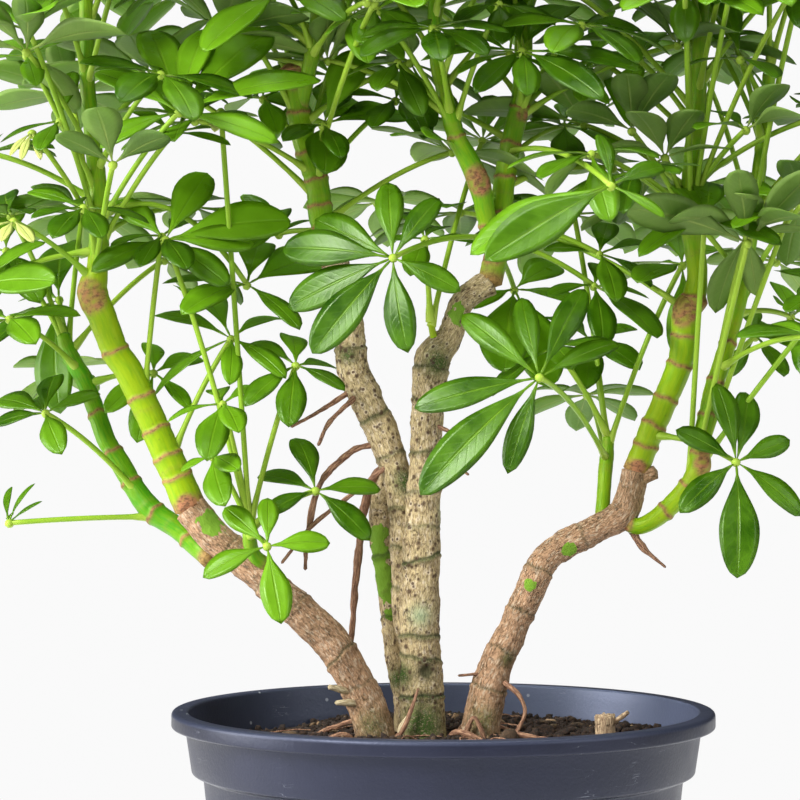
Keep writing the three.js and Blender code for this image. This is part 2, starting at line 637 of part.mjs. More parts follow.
/** The room that a hub takes: a short drum across its axis. */
function hubProbe(hub, axis) {
  const line = new THREE.LineCurve3(along(hub, -HUB.below, axis), along(hub, HUB.above, axis));
  return limb(line, () => HUB.room, ROOM.sides, 1, ROOM.spare);
}

/** Leaflets in order round the axis, with the angle of the notch between each one and the next. */
function inOrder(blades, ahead, round) {
  const fullTurn = 2 * Math.PI;
  const angleOf = ({ heading }) => (Math.atan2(heading.dot(round), heading.dot(ahead)) + fullTurn) % fullTurn;
  const sorted = blades
    .map((blade) => ({ blade, angle: angleOf(blade) }))
    .sort((a, b) => a.angle - b.angle);
  const count = sorted.length;
  return sorted.map(({ blade, angle }, k) => {
    const next = sorted[(k + 1) % count].angle + (k + 1 === count ? fullTurn : 0);
    return { blade, notch: (angle + next) / 2 };
  });
}

/**
 * A whole leaf with its stalk as one closed body. The leaflets share the hub's top corner and the notches
 * between them, and a ring of corners under the hub carries on down the stalk to its foot.
 */
function leafBody(leaf) {
  const { hub, axis, line, set } = leaf;
  const round = new THREE.Vector3().crossVectors(axis, set[0].heading).normalize();
  const ahead = new THREE.Vector3().crossVectors(round, axis);
  const leaflets = inOrder(set, ahead, round);
  const count = leaflets.length;
  const step = (2 * Math.PI) / count;
  const start = leaflets.reduce((sum, { notch }, k) => sum + notch - k * step, 0) / count;
  const corners = [along(hub, HUB.above, axis)];
  const add = (points) => points.map((point) => corners.push(point) - 1);
  const notches = add(leaflets.map(({ notch }) => (
    along(hub, HUB.radius * Math.cos(notch), ahead, HUB.radius * Math.sin(notch), round)
  )));
  const ring = (centre, radius, u, v) => add(leaflets.map((_, k) => {
    const angle = start + k * step;
    return along(centre, radius * Math.cos(angle), u, radius * Math.sin(angle), v);
  }));
  const rings = [ring(along(hub, -HUB.below, axis), STALK.radius, ahead, round)];
  for (let k = STALK.steps - 1; k >= 0; k -= 1) {
    const t = k / STALK.steps;
    const turn = new THREE.Quaternion().setFromUnitVectors(axis, line.getTangent(t));
    const [u, v] = [ahead, round].map((direction) => direction.clone().applyQuaternion(turn));
    rings.push(ring(line.getPoint(t), stalkRadius(t), u, v));
  }
  const triangles = [];
  leaflets.forEach(({ blade }, k) => {
    const before = (k + count - 1) % count;
    const shape = bladeCorners(blade);
    const left = add(shape.left);
    const right = add(shape.right);
    const [tip, above, below] = add([shape.tip, shape.above, shape.below]);
    triangles.push(
      ...bladeTriangles(notches[k], left, 0, above, tip, true),
      ...bladeTriangles(notches[before], right, 0, above, tip, false),
      ...bladeTriangles(notches[k], left, rings[0][k], below, tip, false),
      ...bladeTriangles(notches[before], right, rings[0][before], below, tip, true),
      rings[0][k], below, rings[0][before],
    );
    for (let j = 1; j < rings.length; j += 1) {
      const [upper, lower] = [rings[j - 1], rings[j]];
      triangles.push(upper[k], upper[before], lower[k], upper[before], lower[before], lower[k]);
    }
    const foot = rings[rings.length - 1];
    if (k > 1) triangles.push(foot[0], foot[k], foot[k - 1]);
  });
  return solidFrom(corners, triangles);
}

/** A leaflet's heading in the leaf's own plane, from its bearing as seen from the front. */
function frontHeading(bearing, axis) {
  const angle = THREE.MathUtils.degToRad(bearing);
  const [across, up] = [Math.cos(angle), Math.sin(angle)];
  const away = Math.abs(axis.y) > 0.05 ? -(axis.x * across + axis.z * up) / axis.y : 0;
  return new THREE.Vector3(across, THREE.MathUtils.clamp(away, -1.6, 1.6), up).normalize();
}

/** The leaves that a shoot lists one by one. */
function listedLeaves(shoot, lines) {
  return shoot.leaves.map(([limbIndex, at, hub, facing, blades, bow, widthShare]) => {
    const axis = vector(facing).normalize();
    return {
      start: lines[limbIndex].getPoint(at),
      hub: vector(hub),
      axis,
      bow: bow ?? STALK.bow,
      widthShare: widthShare ?? LEAF.widthShare,
      blades: blades.map(([bearing, length]) => ({ heading: frontHeading(bearing, axis), length })),
    };
  });
}

/** The leaves that stand round a stem, lower ones spread and upper ones raised. */
function spiralLeaves(spiral, lines, seed) {
  const leaves = [];
  for (let k = 0; k < spiral.count; k += 1) {
    const share = k / (spiral.count - 1);
    const draw = seed + 7 * k;
    const angle = THREE.MathUtils.degToRad(spiral.turn + SPIRAL.turn * k + SPIRAL.turnSway * sway(draw));
    const rise = THREE.MathUtils.degToRad(between(spiral.rise, share));
    const depth = Math.sin(angle) > 0 ? SPIRAL.backDepth : SPIRAL.frontDepth;
    const spread = 1 + depth * Math.abs(Math.sin(angle)) * Math.cos(rise);
    const reach = spread * between(spiral.reach, chance(draw + 1));
    const outward = new THREE.Vector3(Math.cos(angle), Math.sin(angle), 0);
    const up = new THREE.Vector3(0, 0, 1);
    const start = lines[spiral.limb].getPoint(between([spiral.from, spiral.to], share));
    const axis = along(up, between(SPIRAL.lean, chance(draw + 2)), outward).normalize();
    const ahead = along(outward, -outward.dot(axis), axis).normalize();
    const round = new THREE.Vector3().crossVectors(axis, ahead);
    const size = between(spiral.blade, chance(draw + 3));
    const blades = [];
    for (let j = -SPIRAL.built; j <= SPIRAL.built; j += 1) {
      const bearing = ((j + SPIRAL.bearingSway * sway(draw + 3 * j)) * 2 * Math.PI) / SPIRAL.leaflets;
      const heading = along(new THREE.Vector3(), Math.cos(bearing), ahead, Math.sin(bearing), round);
      blades.push({ heading, length: size * (1 - SPIRAL.shorter * (1 - Math.cos(bearing))) });
    }
    leaves.push({
      start,
      hub: along(start, reach * Math.cos(rise), outward, reach * Math.sin(rise), up),
      axis,
      bow: STALK.bow,
      widthShare: LEAF.widthShare,
      blades,
    });
  }
  return leaves;
}

/** The line of a leaf's stalk, with the hub turned round the stem by `turn`. */
function stalkLine(leaf, turn) {
  const up = new THREE.Vector3(0, 0, 1);
  const hub = leaf.hub.clone().sub(leaf.start).applyAxisAngle(up, turn).add(leaf.start);
  const middle = leaf.start.clone().add(hub).multiplyScalar(0.5);
  const bend = along(middle, leaf.bow * leaf.start.distanceTo(hub), up);
  return { hub, line: new THREE.QuadraticBezierCurve3(leaf.start, bend, hub) };
}

function stalkRadius(t) {
  return between([STALK.footRadius, STALK.radius], Math.min(t / STALK.footLength, 1));
}

// ---------------------------------------------------------------- keeping pieces clear of each other

/** What is already set, each with the box it lies in, so that far pieces are passed over quickly. */
const settled = [];

/** Notes a solid as set. `leaf` is the leaf it belongs to, and `inner` marks what its own leaflets heed. */
function settle(solid, owner, leaf = null, inner = false) {
  settled.push({ solid, owner, leaf, inner, box: solid.boundingBox() });
}

function boxesMeet(a, b) {
  return [0, 1, 2].every((i) => a.min[i] <= b.max[i] && b.min[i] <= a.max[i]);
}

/** True if a solid meets none of the set solids that `heeds` picks. */
function isClear(solid, heeds) {
  const box = solid.boundingBox();
  return settled.every((item) => {
    if (!heeds(item) || !boxesMeet(box, item.box)) return true;
    const shared = solid.intersect(item.solid);
    const empty = shared.isEmpty() || shared.volume() < 1e-5;
    shared.delete();
    return empty;
  });
}

/** Sets each leaf's stalk on the first turn that is clear of other shoots; a leaf with none is left out. */
function setStalks(shoot) {
  return shoot.plans.filter((leaf) => TURN_TRIES.some((turn) => {
    const { hub, line } = stalkLine(leaf, turn);
    const whole = [...stalkProbes(line, 1), hubProbe(hub, leaf.axis)];
    if (!whole.every((solid) => isClear(solid, (item) => item.owner !== shoot.name))) return false;
    whole.forEach((solid) => settle(solid, shoot.name, leaf));
    stalkProbes(line, ROOM.stalkTo).forEach((solid) => settle(solid, shoot.name, leaf, true));
    Object.assign(leaf, { hub, line });
    return true;
  }));
}

/** Sets each leaflet of a leaf on the first droop that is clear of all else; one with none is left out. */
function setBlades(leaf, owner) {
  const blades = [];
  const thin = LEAF.halfThickness;
  leaf.blades.forEach((plan, k) => {
    DROOP_TRIES.some((extra) => {
      const blade = makeBlade(leaf, plan, LEAF.droop + extra, leaf.seed + k);
      const whole = bladeProbe(blade, ROOM.bladeBack, HUB.radius, HUB.above, HUB.below);
      const outer = bladeProbe(blade, ROOM.bladeFrom, thin, thin, thin);
      if (!isClear(whole, (item) => item.leaf !== leaf)) return false;
      if (!isClear(outer, (item) => item.leaf === leaf && item.inner)) return false;
      settle(whole, owner, leaf);
      settle(outer, owner, leaf, true);
      blades.push(blade);
      return true;
    });
  });
  return blades;
}

// ---------------------------------------------------------------- building the plant

const stemSolids = TRUNKS.map((trunk) => [
  ...trunk.wood.map((route) => routeLimb(route, WOOD_SIDES)),
  ...trunk.roots.map((route) => routeLimb(route, ROOT_SIDES)),
]);
const stemShadows = TRUNKS.flatMap((trunk) => [
  ...trunk.wood.map((route) => routeLimb(route, WOOD_SIDES, SEAT_GAP)),
  ...trunk.roots.map((route) => routeLimb(route, ROOT_SIDES, SEAT_GAP)),
]);
const woodShadow = joined(stemShadows);
stemShadows.forEach((solid) => settle(solid, 'wood'));

SHOOTS.forEach((shoot, index) => {
  shoot.seed = 100 * (index + 1);
  shoot.lines = shoot.limbs.map(routeLine);
  shoot.stems = shoot.limbs.map((route) => routeLimb(route, GREEN_SIDES));
  shoot.stems.forEach((solid) => settle(solid, shoot.name));
  shoot.plans = listedLeaves(shoot, shoot.lines);
  shoot.spirals.forEach((spiral, k) => {
    shoot.plans.push(...spiralLeaves(spiral, shoot.lines, shoot.seed + 50 * (k + 1)));
  });
  shoot.plans.forEach((leaf, k) => Object.assign(leaf, { seed: shoot.seed + 10 * k }));
});
SHOOTS.forEach((shoot) => Object.assign(shoot, { set: setStalks(shoot) }));
SHOOTS.forEach((shoot) => {
  shoot.set.forEach((leaf) => Object.assign(leaf, { set: setBlades(leaf, shoot.name) }));
});

/** A shoot as one body: its stems, stalks and leaves joined, cut back from the wood that it stands on. */
function makeShoot(shoot) {
  const leaves = shoot.set.filter((leaf) => leaf.set.length >= LEAF.fewest);
  return mainBody(joined([...shoot.stems, ...leaves.map(leafBody)]).subtract(woodShadow));
}

const FINISH = {
  pot: { color: 0x2b3038, roughness: 0.5, metalness: 0 },
  soil: { color: 0x3a281c, roughness: 0.95, metalness: 0 },
  wood: { color: 0xa98a68, roughness: 0.8, metalness: 0 },
  stub: { color: 0xc7b193, roughness: 0.85, metalness: 0 },
  leaf: { color: 0x2f7d1f, roughness: 0.35, metalness: 0 },
};

function mesh(name, solid, finish) {
  const material = new THREE.MeshStandardMaterial(FINISH[finish]);
  const piece = new THREE.Mesh(geometryOf(solid), material);
  piece.name = name;
  return piece;
}

const stubShadow = routeLimb(STUB.wood, WOOD_SIDES, SEAT_GAP);
const stub = joined([routeLimb(STUB.wood, WOOD_SIDES), routeLimb(STUB.twig, ROOT_SIDES)]);

const plant = new THREE.Group();
plant.add(mesh('pot', makePot(), 'pot'));
plant.add(mesh('soil', makeSoil([...stemShadows, stubShadow]), 'soil'));
plant.add(mesh('old_stem_stub', stub, 'stub'));
TRUNKS.forEach((trunk, index) => plant.add(mesh(trunk.name, mainBody(joined(stemSolids[index])), 'wood')));
SHOOTS.forEach((shoot) => plant.add(mesh(shoot.name, makeShoot(shoot), 'leaf')));

export default plant;
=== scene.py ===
"""A potted umbrella plant: three woody trunks, green shoots with hand-shaped leaves, soil and a nursery pot.

Shapes are worked out in millimetres in the part's own frame, with +Z up, the origin under the pot and -Y
to the plant's front, and are written to the meshes in metres.
"""

import itertools
import logging
import math
from collections.abc import Sequence
from dataclasses import dataclass, field, replace
from enum import Enum

import bpy
import numpy as np
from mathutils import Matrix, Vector
from numpy.typing import NDArray


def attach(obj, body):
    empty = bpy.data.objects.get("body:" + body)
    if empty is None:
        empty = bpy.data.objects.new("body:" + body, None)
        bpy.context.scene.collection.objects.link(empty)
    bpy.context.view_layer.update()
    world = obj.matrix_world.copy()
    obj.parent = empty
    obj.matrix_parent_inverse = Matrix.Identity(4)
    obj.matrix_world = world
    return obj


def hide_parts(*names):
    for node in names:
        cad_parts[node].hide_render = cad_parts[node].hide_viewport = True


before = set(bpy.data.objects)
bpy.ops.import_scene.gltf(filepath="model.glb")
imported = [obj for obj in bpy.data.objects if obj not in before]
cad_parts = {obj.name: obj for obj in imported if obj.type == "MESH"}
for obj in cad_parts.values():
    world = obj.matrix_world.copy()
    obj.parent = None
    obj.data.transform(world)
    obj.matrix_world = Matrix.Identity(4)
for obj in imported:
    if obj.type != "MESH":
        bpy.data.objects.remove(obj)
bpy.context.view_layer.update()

log = logging.getLogger("umbrella_plant")

Array = NDArray[np.float64]
Point = tuple[float, float, float]
RoutePoint = tuple[float, float, float, float]
Pair = tuple[float, float]
Colour = tuple[float, float, float]
Socket = bpy.types.NodeSocket
Outputs = bpy.types.NodeOutputs
Node = bpy.types.Node
Tree = bpy.types.NodeTree
Material = bpy.types.Material
Piece = bpy.types.Object

MM = 0.001
FULL_TURN = 2 * math.pi
UP = np.array([0.0, 0.0, 1.0])
CROWN_BOX = ((-243.0, -126.0, 0.0), (219.0, 146.0, 588.0))


# ---------------------------------------------------------------- the plan of the plant, in millimetres


@dataclass(frozen=True)
class TrunkPlan:
    """A woody trunk: its limbs and its thin aerial roots, each a route of (x, y, z, radius)."""

    node: str
    wood: tuple[tuple[RoutePoint, ...], ...]
    roots: tuple[tuple[RoutePoint, ...], ...] = ()


@dataclass(frozen=True)
class LeafPlan:
    """A leaf that is placed by itself.

    It says which limb it grows from and the place along it, where its hub is and the way it faces, the
    bearing in degrees and the length of each leaflet as seen from the front, how far its stalk bows and
    how wide its leaflets are for their length.
    """

    limb: int
    at: float
    hub: Point
    facing: Point
    blades: tuple[Pair, ...]
    bow: float
    width_share: float


def leaf(
    limb: int, at: float, hub: Point, facing: Point, *blades: float, bow: float = 0.12, width: float = 0.35
) -> LeafPlan:
    """A leaf's plan, with the bearing and the length of each leaflet in turn."""
    return LeafPlan(limb, at, hub, facing, tuple(zip(blades[::2], blades[1::2])), bow, width)


@dataclass(frozen=True)
class SpiralPlan:
    """A run of leaves round a limb: places along it, the first turn, then ranges of rise, reach and size."""

    limb: int
    count: int
    span: Pair
    turn: float
    rise: Pair
    reach: Pair
    blade: Pair


@dataclass(frozen=True)
class ShootPlan:
    """A green shoot: its limbs, the leaves placed one by one and the leaves that stand round it."""

    node: str
    limbs: tuple[tuple[RoutePoint, ...], ...]
    leaves: tuple[LeafPlan, ...]
    spirals: tuple[SpiralPlan, ...] = ()


TRUNK_PLANS: tuple[TrunkPlan, ...] = (
    TrunkPlan("trunk_left", wood=((
        (-30, -4, 146, 8.2), (-30, -4, 178, 8.6), (-45, -3, 212, 8), (-61, -1, 229, 7.7), (-71, 0, 238, 7.4),
        (-82, 1, 248, 7.3), (-101, 2, 264, 7.2), (-112, 2, 277, 7.5),
    ),)),
    TrunkPlan("trunk_centre", wood=((
        (-9, 0, 146, 9.6), (-9, 0, 177, 10.3), (-10, 0, 214, 9), (-10, 0, 245, 8.6), (-8, 0, 291, 7.4),
        (-7, 0, 314, 7.1), (-6, 1, 332, 7.7), (-4, 1, 344, 8.2), (3, 2, 353, 5.6), (8, 3, 367, 5.2),
        (14, 4, 373, 5.6), (21, 4, 377, 5.8),
    ), (
        (-13, 4, 210, 5), (-16, 7, 228, 6), (-17, 8, 245, 6.1), (-17, 8, 263, 6.2), (-19, 8, 285, 6.6),
        (-26, 8, 308, 7.1), (-34, 9, 325, 7.3), (-40, 10, 338, 7.2), (-42, 10, 360, 6.5), (-45, 10, 373, 6.2),
        (-48, 10, 385, 6.3),
    ), (
        (-17, 16, 150, 4.2), (-17, 16, 177, 4.5), (-18, 17, 192, 4.2), (-22, 18, 212, 4.1),
        (-24, 19, 229, 4.1), (-26, 20, 246, 4.3), (-28, 20, 264, 4.5), (-27, 17, 280, 5.5),
        (-23, 11, 291, 4.6),
    ),), roots=(
        ((-28, 8, 305, 1.6), (-40, 6, 302, 1.9), (-54, 0, 288, 1.7), (-60, -1, 265, 1.5), (-61, 1, 250, 1.3)),
        ((-25, 10, 297, 2), (-33, 14, 285, 2.3), (-38, 14, 252, 2.2), (-41, 12, 212, 1.5)),
        ((-24, 4, 296, 1.3), (-40, 3, 283, 1.3), (-58, -3, 269, 1.1), (-71, -5, 253, 0.8)),
        ((-40, 8, 329, 1.5), (-56, 4, 319, 1.2), (-67, 0, 313, 0.7)),
        ((-38, 5, 327, 1.6), (-50, -2, 315, 1.3), (-55, -4, 305, 0.9)),
        ((-7, -3, 315, 1.5), (5, -7, 310, 1.2), (18, -8, 306, 0.7)),
        ((-8, -3, 299, 1.4), (2, -9, 298, 1.2), (11, -10, 292, 0.7)),
    )),
    TrunkPlan("trunk_right", wood=((
        (16, 2, 146, 8), (17, 2, 179, 8.5), (22, 2, 203, 7.6), (31, 1, 223, 6.7), (37, 0, 237, 6.5),
        (45, 0, 254, 6.5), (55, 0, 261, 6.3), (67, 0, 267, 6.2), (79, 0, 274, 6.7), (83, 0, 284, 6),
        (85, 0, 293, 5.9),
    ), (
        (84, 0, 289, 3.4), (94, -2, 293, 3),
    ),), roots=(
        ((82, 0, 270, 2.4), (88, -2, 260, 2), (98, -4, 251, 0.6)),
        ((22, 0, 204, 1.2), (7, -3, 203, 0.7)),
    )),
)

SHOOT_PLANS: tuple[ShootPlan, ...] = (
    ShootPlan("shoot_left_top", limbs=((
        (-112, 2, 277, 7.2), (-118, 2, 291, 6.9), (-124, 2, 304, 6.6), (-130, 2, 318, 6.3),
        (-139, 1, 337, 6.3), (-145, 1, 346, 6.3), (-151, 0, 362, 6.3), (-155, 0, 372, 6.9),
        (-153, -1, 383, 4.7), (-152, -2, 397, 4.4), (-152, -3, 411, 4.3), (-153, -4, 425, 4),
        (-155, -5, 444, 3.6), (-157, -5, 466, 3.4), (-157, -5, 488, 3.2), (-158, -4, 510, 3),
    ),), leaves=(
        leaf(0, 0.55, (-156, -28, 408), (10, -45, 88), 163, 29, 192, 26, 352, 30, 125, 27, 235, 33, 305, 31),
        leaf(0, 0.57, (-118, -12, 442), (10, -50, 86), 104, 72, 150, 33, 62, 72, 24, 69, 350, 26, 200, 28),
        leaf(0, 0.64, (-182, -18, 475), (-20, -40, 88), 40, 56, 185, 26, 140, 41, 300, 33, 90, 33),
        leaf(0, 0.7, (-146, -20, 434), (0, -35, 93), 112, 45, 55, 51, 170, 26, 10, 26, 250, 25),
        leaf(0, 0.68, (-167, -22, 446), (-30, -40, 86), 170, 46, 195, 29, 130, 37, 60, 31, 250, 29),
        leaf(0, 0.22, (-124, -5, 397), (10, -30, 95), 150, 47, 52, 62, 4, 53, 185, 26, 240, 29, 310, 37),
        leaf(0, 0.57, (-205, -12, 374), (-50, -50, 70), 5, 48, 42, 38, 100, 49, 200, 34, 280, 49),
        leaf(0, 0.64, (-87, 5, 376), (30, -40, 85), 85, 55, 25, 72, 165, 38, 320, 40, 200, 47, bow=0.5),
        leaf(0, 0.1, (-94, 4, 352), (10, -45, 88), 125, 72, 158, 44, 178, 45, 330, 37, 35, 45, 280, 34),
    ), spirals=(
        SpiralPlan(0, 7, (0.6, 1), 40, (15, 75), (45, 80), (38, 46)),
    )),
    ShootPlan("shoot_left_low", limbs=((
        (-103, 4, 254, 4.6), (-108, 8, 258, 4.6), (-118, 12, 267, 4.8), (-130, 15, 275, 5.3),
        (-138, 18, 285, 4.7), (-144, 20, 295, 4.5), (-151, 22, 306, 4.3), (-156, 25, 319, 4.2),
        (-162, 28, 334, 4), (-168, 30, 344, 3.8), (-172, 32, 354, 3.2),
    ),), leaves=(
        leaf(0, 0.36, (-176, 0, 319), (-30, -50, 80), 165, 37, 192, 26, 88, 35, 130, 38, 20, 26, 300, 33),
        leaf(0, 0.98, (-176, 50, 371), (-20, -50, 80), 100, 61, 150, 46, 250, 55, 215, 45, 300, 52),
        leaf(0, 0.78, (-130, 22, 337), (20, -40, 88), 20, 34, 330, 27, 200, 32, 100, 30, 260, 34),
        leaf(0, 0.27, (-193, 5, 270), (-60, -60, 50), 100, 27, 66, 23, 128, 21, 45, 18, bow=0.02,
                 width=0.16),
        leaf(0, 0.94, (-199, 40, 393), (-30, -40, 86), 45, 39, 95, 47, 180, 29, 265, 43, 320, 43),
    ), spirals=(
        SpiralPlan(0, 4, (0.75, 1), 100, (10, 60), (40, 70), (36, 44)),
    )),
    ShootPlan("shoot_left_inner", limbs=((
        (-77, -2, 251, 3.3), (-83, -6, 256, 3.2), (-85, -9, 263, 3.1), (-85, -10, 272, 2.4),
    ),), leaves=(
        leaf(0, 0.93, (-97, -10, 323), (-10, -40, 90), 260, 40, 305, 33, 190, 26, 110, 30, 30, 30),
        leaf(0, 0.89, (-65, -4, 340), (10, -50, 85), 150, 32, 205, 33, 30, 38, 335, 28, 265, 37, 95, 35),
        leaf(0, 0.85, (-56, -14, 285), (10, -75, 65), 145, 35, 106, 35, 200, 26, 5, 30, 322, 34),
        leaf(0, 0.74, (-76, -40, 262), (0, -85, 50), 200, 31, 283, 37, 5, 28, 88, 26, 138, 29),
        leaf(0, 0.89, (-101, -14, 300), (-30, -50, 80), 285, 37, 325, 30, 200, 16),
    )),
    ShootPlan("shoot_middle_left", limbs=((
        (-48, 10, 385, 6), (-50, 11, 394, 5.8), (-54, 12, 406, 5.6), (-56, 13, 421, 5.3), (-61, 14, 437, 5.2),
        (-64, 15, 450, 5.1), (-66, 15, 464, 5.7), (-67, 15, 473, 7),
    ), (
        (-64, 15, 454, 3.4), (-60, 9, 470, 3.5), (-57, 6, 485, 3.4), (-55, 5, 503, 3.2), (-55, 5, 516, 3),
    ),), leaves=(
        leaf(0, 0.41, (-53, -4, 446), (20, -40, 90), 15, 64, 50, 46, 110, 37, 300, 33, 200, 28),
        leaf(0, 0.44, (-21, 34, 461), (20, -30, 93), 10, 43, 170, 27, 80, 34, 230, 34, 310, 43),
        leaf(0, 0.51, (-81, 28, 461), (-20, -30, 93), 150, 43, 205, 33, 90, 43, 30, 32, 300, 34),
        leaf(0, 0.2, (-74, 30, 400), (-10, -40, 90), 150, 32, 30, 23, 205, 21, 90, 29),
        leaf(1, 0.5, (-41, -14, 493), (20, -50, 84), 20, 45, 65, 50, 125, 40, 175, 27, 335, 32, 290, 38),
        leaf(1, 0.42, (-69, -18, 504), (-10, -60, 80), 222, 58, 185, 35, 140, 43, 330, 39, 30, 30),
    ), spirals=(
        SpiralPlan(0, 4, (0.25, 0.9), 70, (10, 40), (45, 80), (38, 45)),
        SpiralPlan(1, 6, (0.45, 1), 200, (25, 78), (40, 75), (38, 46)),
    )),
    ShootPlan("shoot_knob", limbs=((
        (-3, 2, 344, 2.2), (-4, -2, 352, 1.7), (-6, -3, 361, 1.3),
    ),), leaves=(
        leaf(0, 0.9, (-8, 0, 396), (0, -50, 85), 112, 40, 68, 41, 180, 16, 0, 26, 250, 33),
    )),
    ShootPlan("shoot_middle", limbs=((
        (21, 4, 377, 5.6), (23, 5, 386, 5.3), (25, 6, 400, 5), (28, 8, 425, 4.8), (32, 9, 446, 4.6),
        (35, 9, 458, 4.3), (36, 9, 481, 4), (37, 9, 503, 3.6), (38, 9, 516, 3.2),
    ), (
        (23, 5, 388, 4.4), (20, 0, 402, 4.2), (16, -4, 420, 4.7), (11, -6, 431, 4.6), (6, -7, 440, 4.2),
        (3, -8, 450, 3.8), (0, -8, 462, 3.4), (-3, -8, 474, 3), (-4, -8, 492, 2.7), (-5, -8, 509, 2.4),
    ),), leaves=(
        leaf(0, 0.22, (-22, -52, 385), (-15, -93, 35), 93, 39, 55, 35, 335, 33, 275, 43, 230, 54, 200, 51,
             172, 52, 150, 45),
        leaf(0, 0.43, (67, -100, 412), (20, -75, 60), 212, 72, 192, 66, 95, 31, 25, 33, 330, 26),
        leaf(0, 0.27, (70, 12, 390), (10, -40, 90), 15, 52, 335, 33, 70, 34, 170, 26, 290, 38),
        leaf(0, 0.18, (33, 34, 375), (10, -40, 90), 350, 32, 295, 64, 255, 69, 30, 46, 200, 29),
        leaf(0, 0.22, (68, 16, 376), (20, -40, 90), 318, 53, 350, 26, 185, 27, 285, 38, 70, 30),
        leaf(0, 0.66, (29, -16, 476), (0, -40, 90), 112, 45, 70, 51, 300, 35, 345, 53, 200, 33, 155, 30),
        leaf(0, 0.59, (67, 24, 478), (10, -30, 93), 10, 42, 60, 51, 330, 44, 180, 26, 250, 38),
        leaf(0, 0.41, (56, 40, 450), (10, -30, 93), 330, 44, 20, 47, 80, 34, 270, 43, 200, 31),
        leaf(1, 0.45, (-29, -26, 494), (-20, -40, 88), 200, 27, 160, 38, 250, 33, 30, 29, 90, 41, 320, 37),
        leaf(1, 0.52, (-20, -2, 474), (-20, -30, 90), 190, 26, 140, 38, 240, 33, 40, 35, 300, 33),
        leaf(1, 0.49, (24, -28, 496), (10, -40, 90), 200, 31, 340, 29, 100, 49, 45, 41, 270, 33),
    ), spirals=(
        SpiralPlan(0, 7, (0.35, 1), 18, (10, 75), (45, 85), (38, 46)),
        SpiralPlan(1, 5, (0.55, 1), 250, (30, 75), (35, 65), (36, 44)),
    )),
    ShootPlan("shoot_right_top", limbs=((
        (85, 0, 293, 5.7), (88, 0, 300, 5.6), (92, -2, 311, 5.6), (97, -3, 322, 5.5), (105, -5, 343, 5.6),
        (107, -6, 364, 6.2), (110, -6, 369, 5.4), (112, -6, 380, 4.6), (110, -6, 396, 4.5),
        (109, -6, 408, 4.4), (110, -6, 430, 4.2), (112, -6, 452, 3.9), (113, -6, 475, 3.5),
        (114, -6, 497, 3.2), (115, -6, 512, 3),
    ),), leaves=(
        leaf(0, 0.13, (131, -30, 298), (20, -85, 45), 72, 40, 103, 37, 20, 29, 325, 37, 268, 53, 215, 36,
             150, 30),
        leaf(0, 0.61, (97, -14, 431), (0, 25, 96), 172, 36, 130, 45, 60, 41, 10, 32, 330, 41, 222, 40),
        leaf(0, 0.71, (104, -30, 501), (0, -30, 95), 190, 35, 150, 49, 90, 49, 30, 49, 345, 39, 260, 41),
        leaf(0, 0.59, (88, 6, 411), (-10, 20, 96), 195, 34, 150, 42, 250, 34, 20, 41, 90, 34),
        leaf(0, 0.76, (87, 0, 475), (-10, -20, 96), 190, 28, 140, 42, 60, 42, 330, 42, 240, 38),
        leaf(0, 0.66, (131, -26, 442), (10, 20, 96), 15, 49, 60, 41, 160, 40, 210, 41, 320, 41),
    ), spirals=(
        SpiralPlan(0, 8, (0.55, 1), 90, (10, 75), (45, 85), (38, 46)),
    )),
    ShootPlan("shoot_right_outer", limbs=((
        (79, 0, 272, 4), (86, -3, 269, 3.7), (93, -6, 272, 3.9), (102, -9, 280, 4.4), (109, -12, 289, 4.5),
        (112, -13, 296, 4.9), (112, -14, 304, 4.2), (115, -14, 316, 4), (118, -14, 329, 3.9),
        (121, -14, 338, 3.8), (126, -13, 355, 3.6), (130, -12, 369, 3.5), (134, -10, 391, 3.3),
        (138, -8, 417, 3.1), (141, -6, 444, 3), (144, -5, 470, 2.8),
    ),), leaves=(
        leaf(0, 0.52, (131, -30, 396), (0, 35, 93), 98, 39, 45, 59, 165, 48, 5, 27, 215, 39, 300, 29),
        leaf(0, 0.78, (153, -34, 501), (10, -40, 90), 200, 43, 150, 35, 90, 49, 330, 41, 30, 43, 260, 37),
        leaf(0, 0.54, (139, 4, 353), (20, -50, 80), 350, 26, 300, 32, 205, 23, 95, 30, 35, 35),
        leaf(0, 0.73, (157, -12, 410), (20, 10, 96), 170, 28, 120, 41, 60, 41, 330, 50, 260, 41),
        leaf(0, 0.7, (157, 20, 362), (40, -40, 80), 330, 27, 280, 47, 30, 51, 200, 34, 100, 34),
        leaf(0, 0.92, (128, -30, 472), (0, -10, 96), 180, 26, 130, 41, 60, 49, 0, 26, 300, 41),
    ), spirals=(
        SpiralPlan(0, 6, (0.6, 1), 300, (10, 70), (40, 75), (36, 45)),
    )),
    ShootPlan("shoot_right_inner", limbs=((
        (71, 1, 270, 3.4), (71, 3, 277, 3.2), (72, 5, 289, 3), (73, 8, 298, 3.2), (74, 10, 308, 2.5),
    ),), leaves=(
        leaf(0, 0.75, (39, -75, 334), (-10, -90, 45), 140, 47, 103, 42, 62, 49, 33, 42, 193, 54, 222, 71,
             248, 43),
        leaf(0, 0.85, (107, 10, 385), (0, -20, 95), 200, 46, 150, 51, 335, 51, 25, 51, 275, 42, 90, 35),
        leaf(0, 0.9, (68, 40, 352), (-10, -40, 90), 190, 26, 140, 39, 20, 28, 330, 38, 260, 39),
    ), spirals=(
        SpiralPlan(0, 2, (0.7, 1), 90, (20, 50), (45, 70), (34, 40)),
    )),
)


# ---------------------------------------------------------------- arithmetic on whole arrays


def draw(seed: float) -> float:
    """A draw between 0 and 1 that is always the same for a seed: the fraction of a large sine of it."""
    value = math.sin(seed * 12.9898) * 43758.5453
    return value - math.floor(value)


def sway(seed: float) -> float:
    """A draw between -1 and 1 that is always the same for a seed."""
    return 2 * draw(seed) - 1


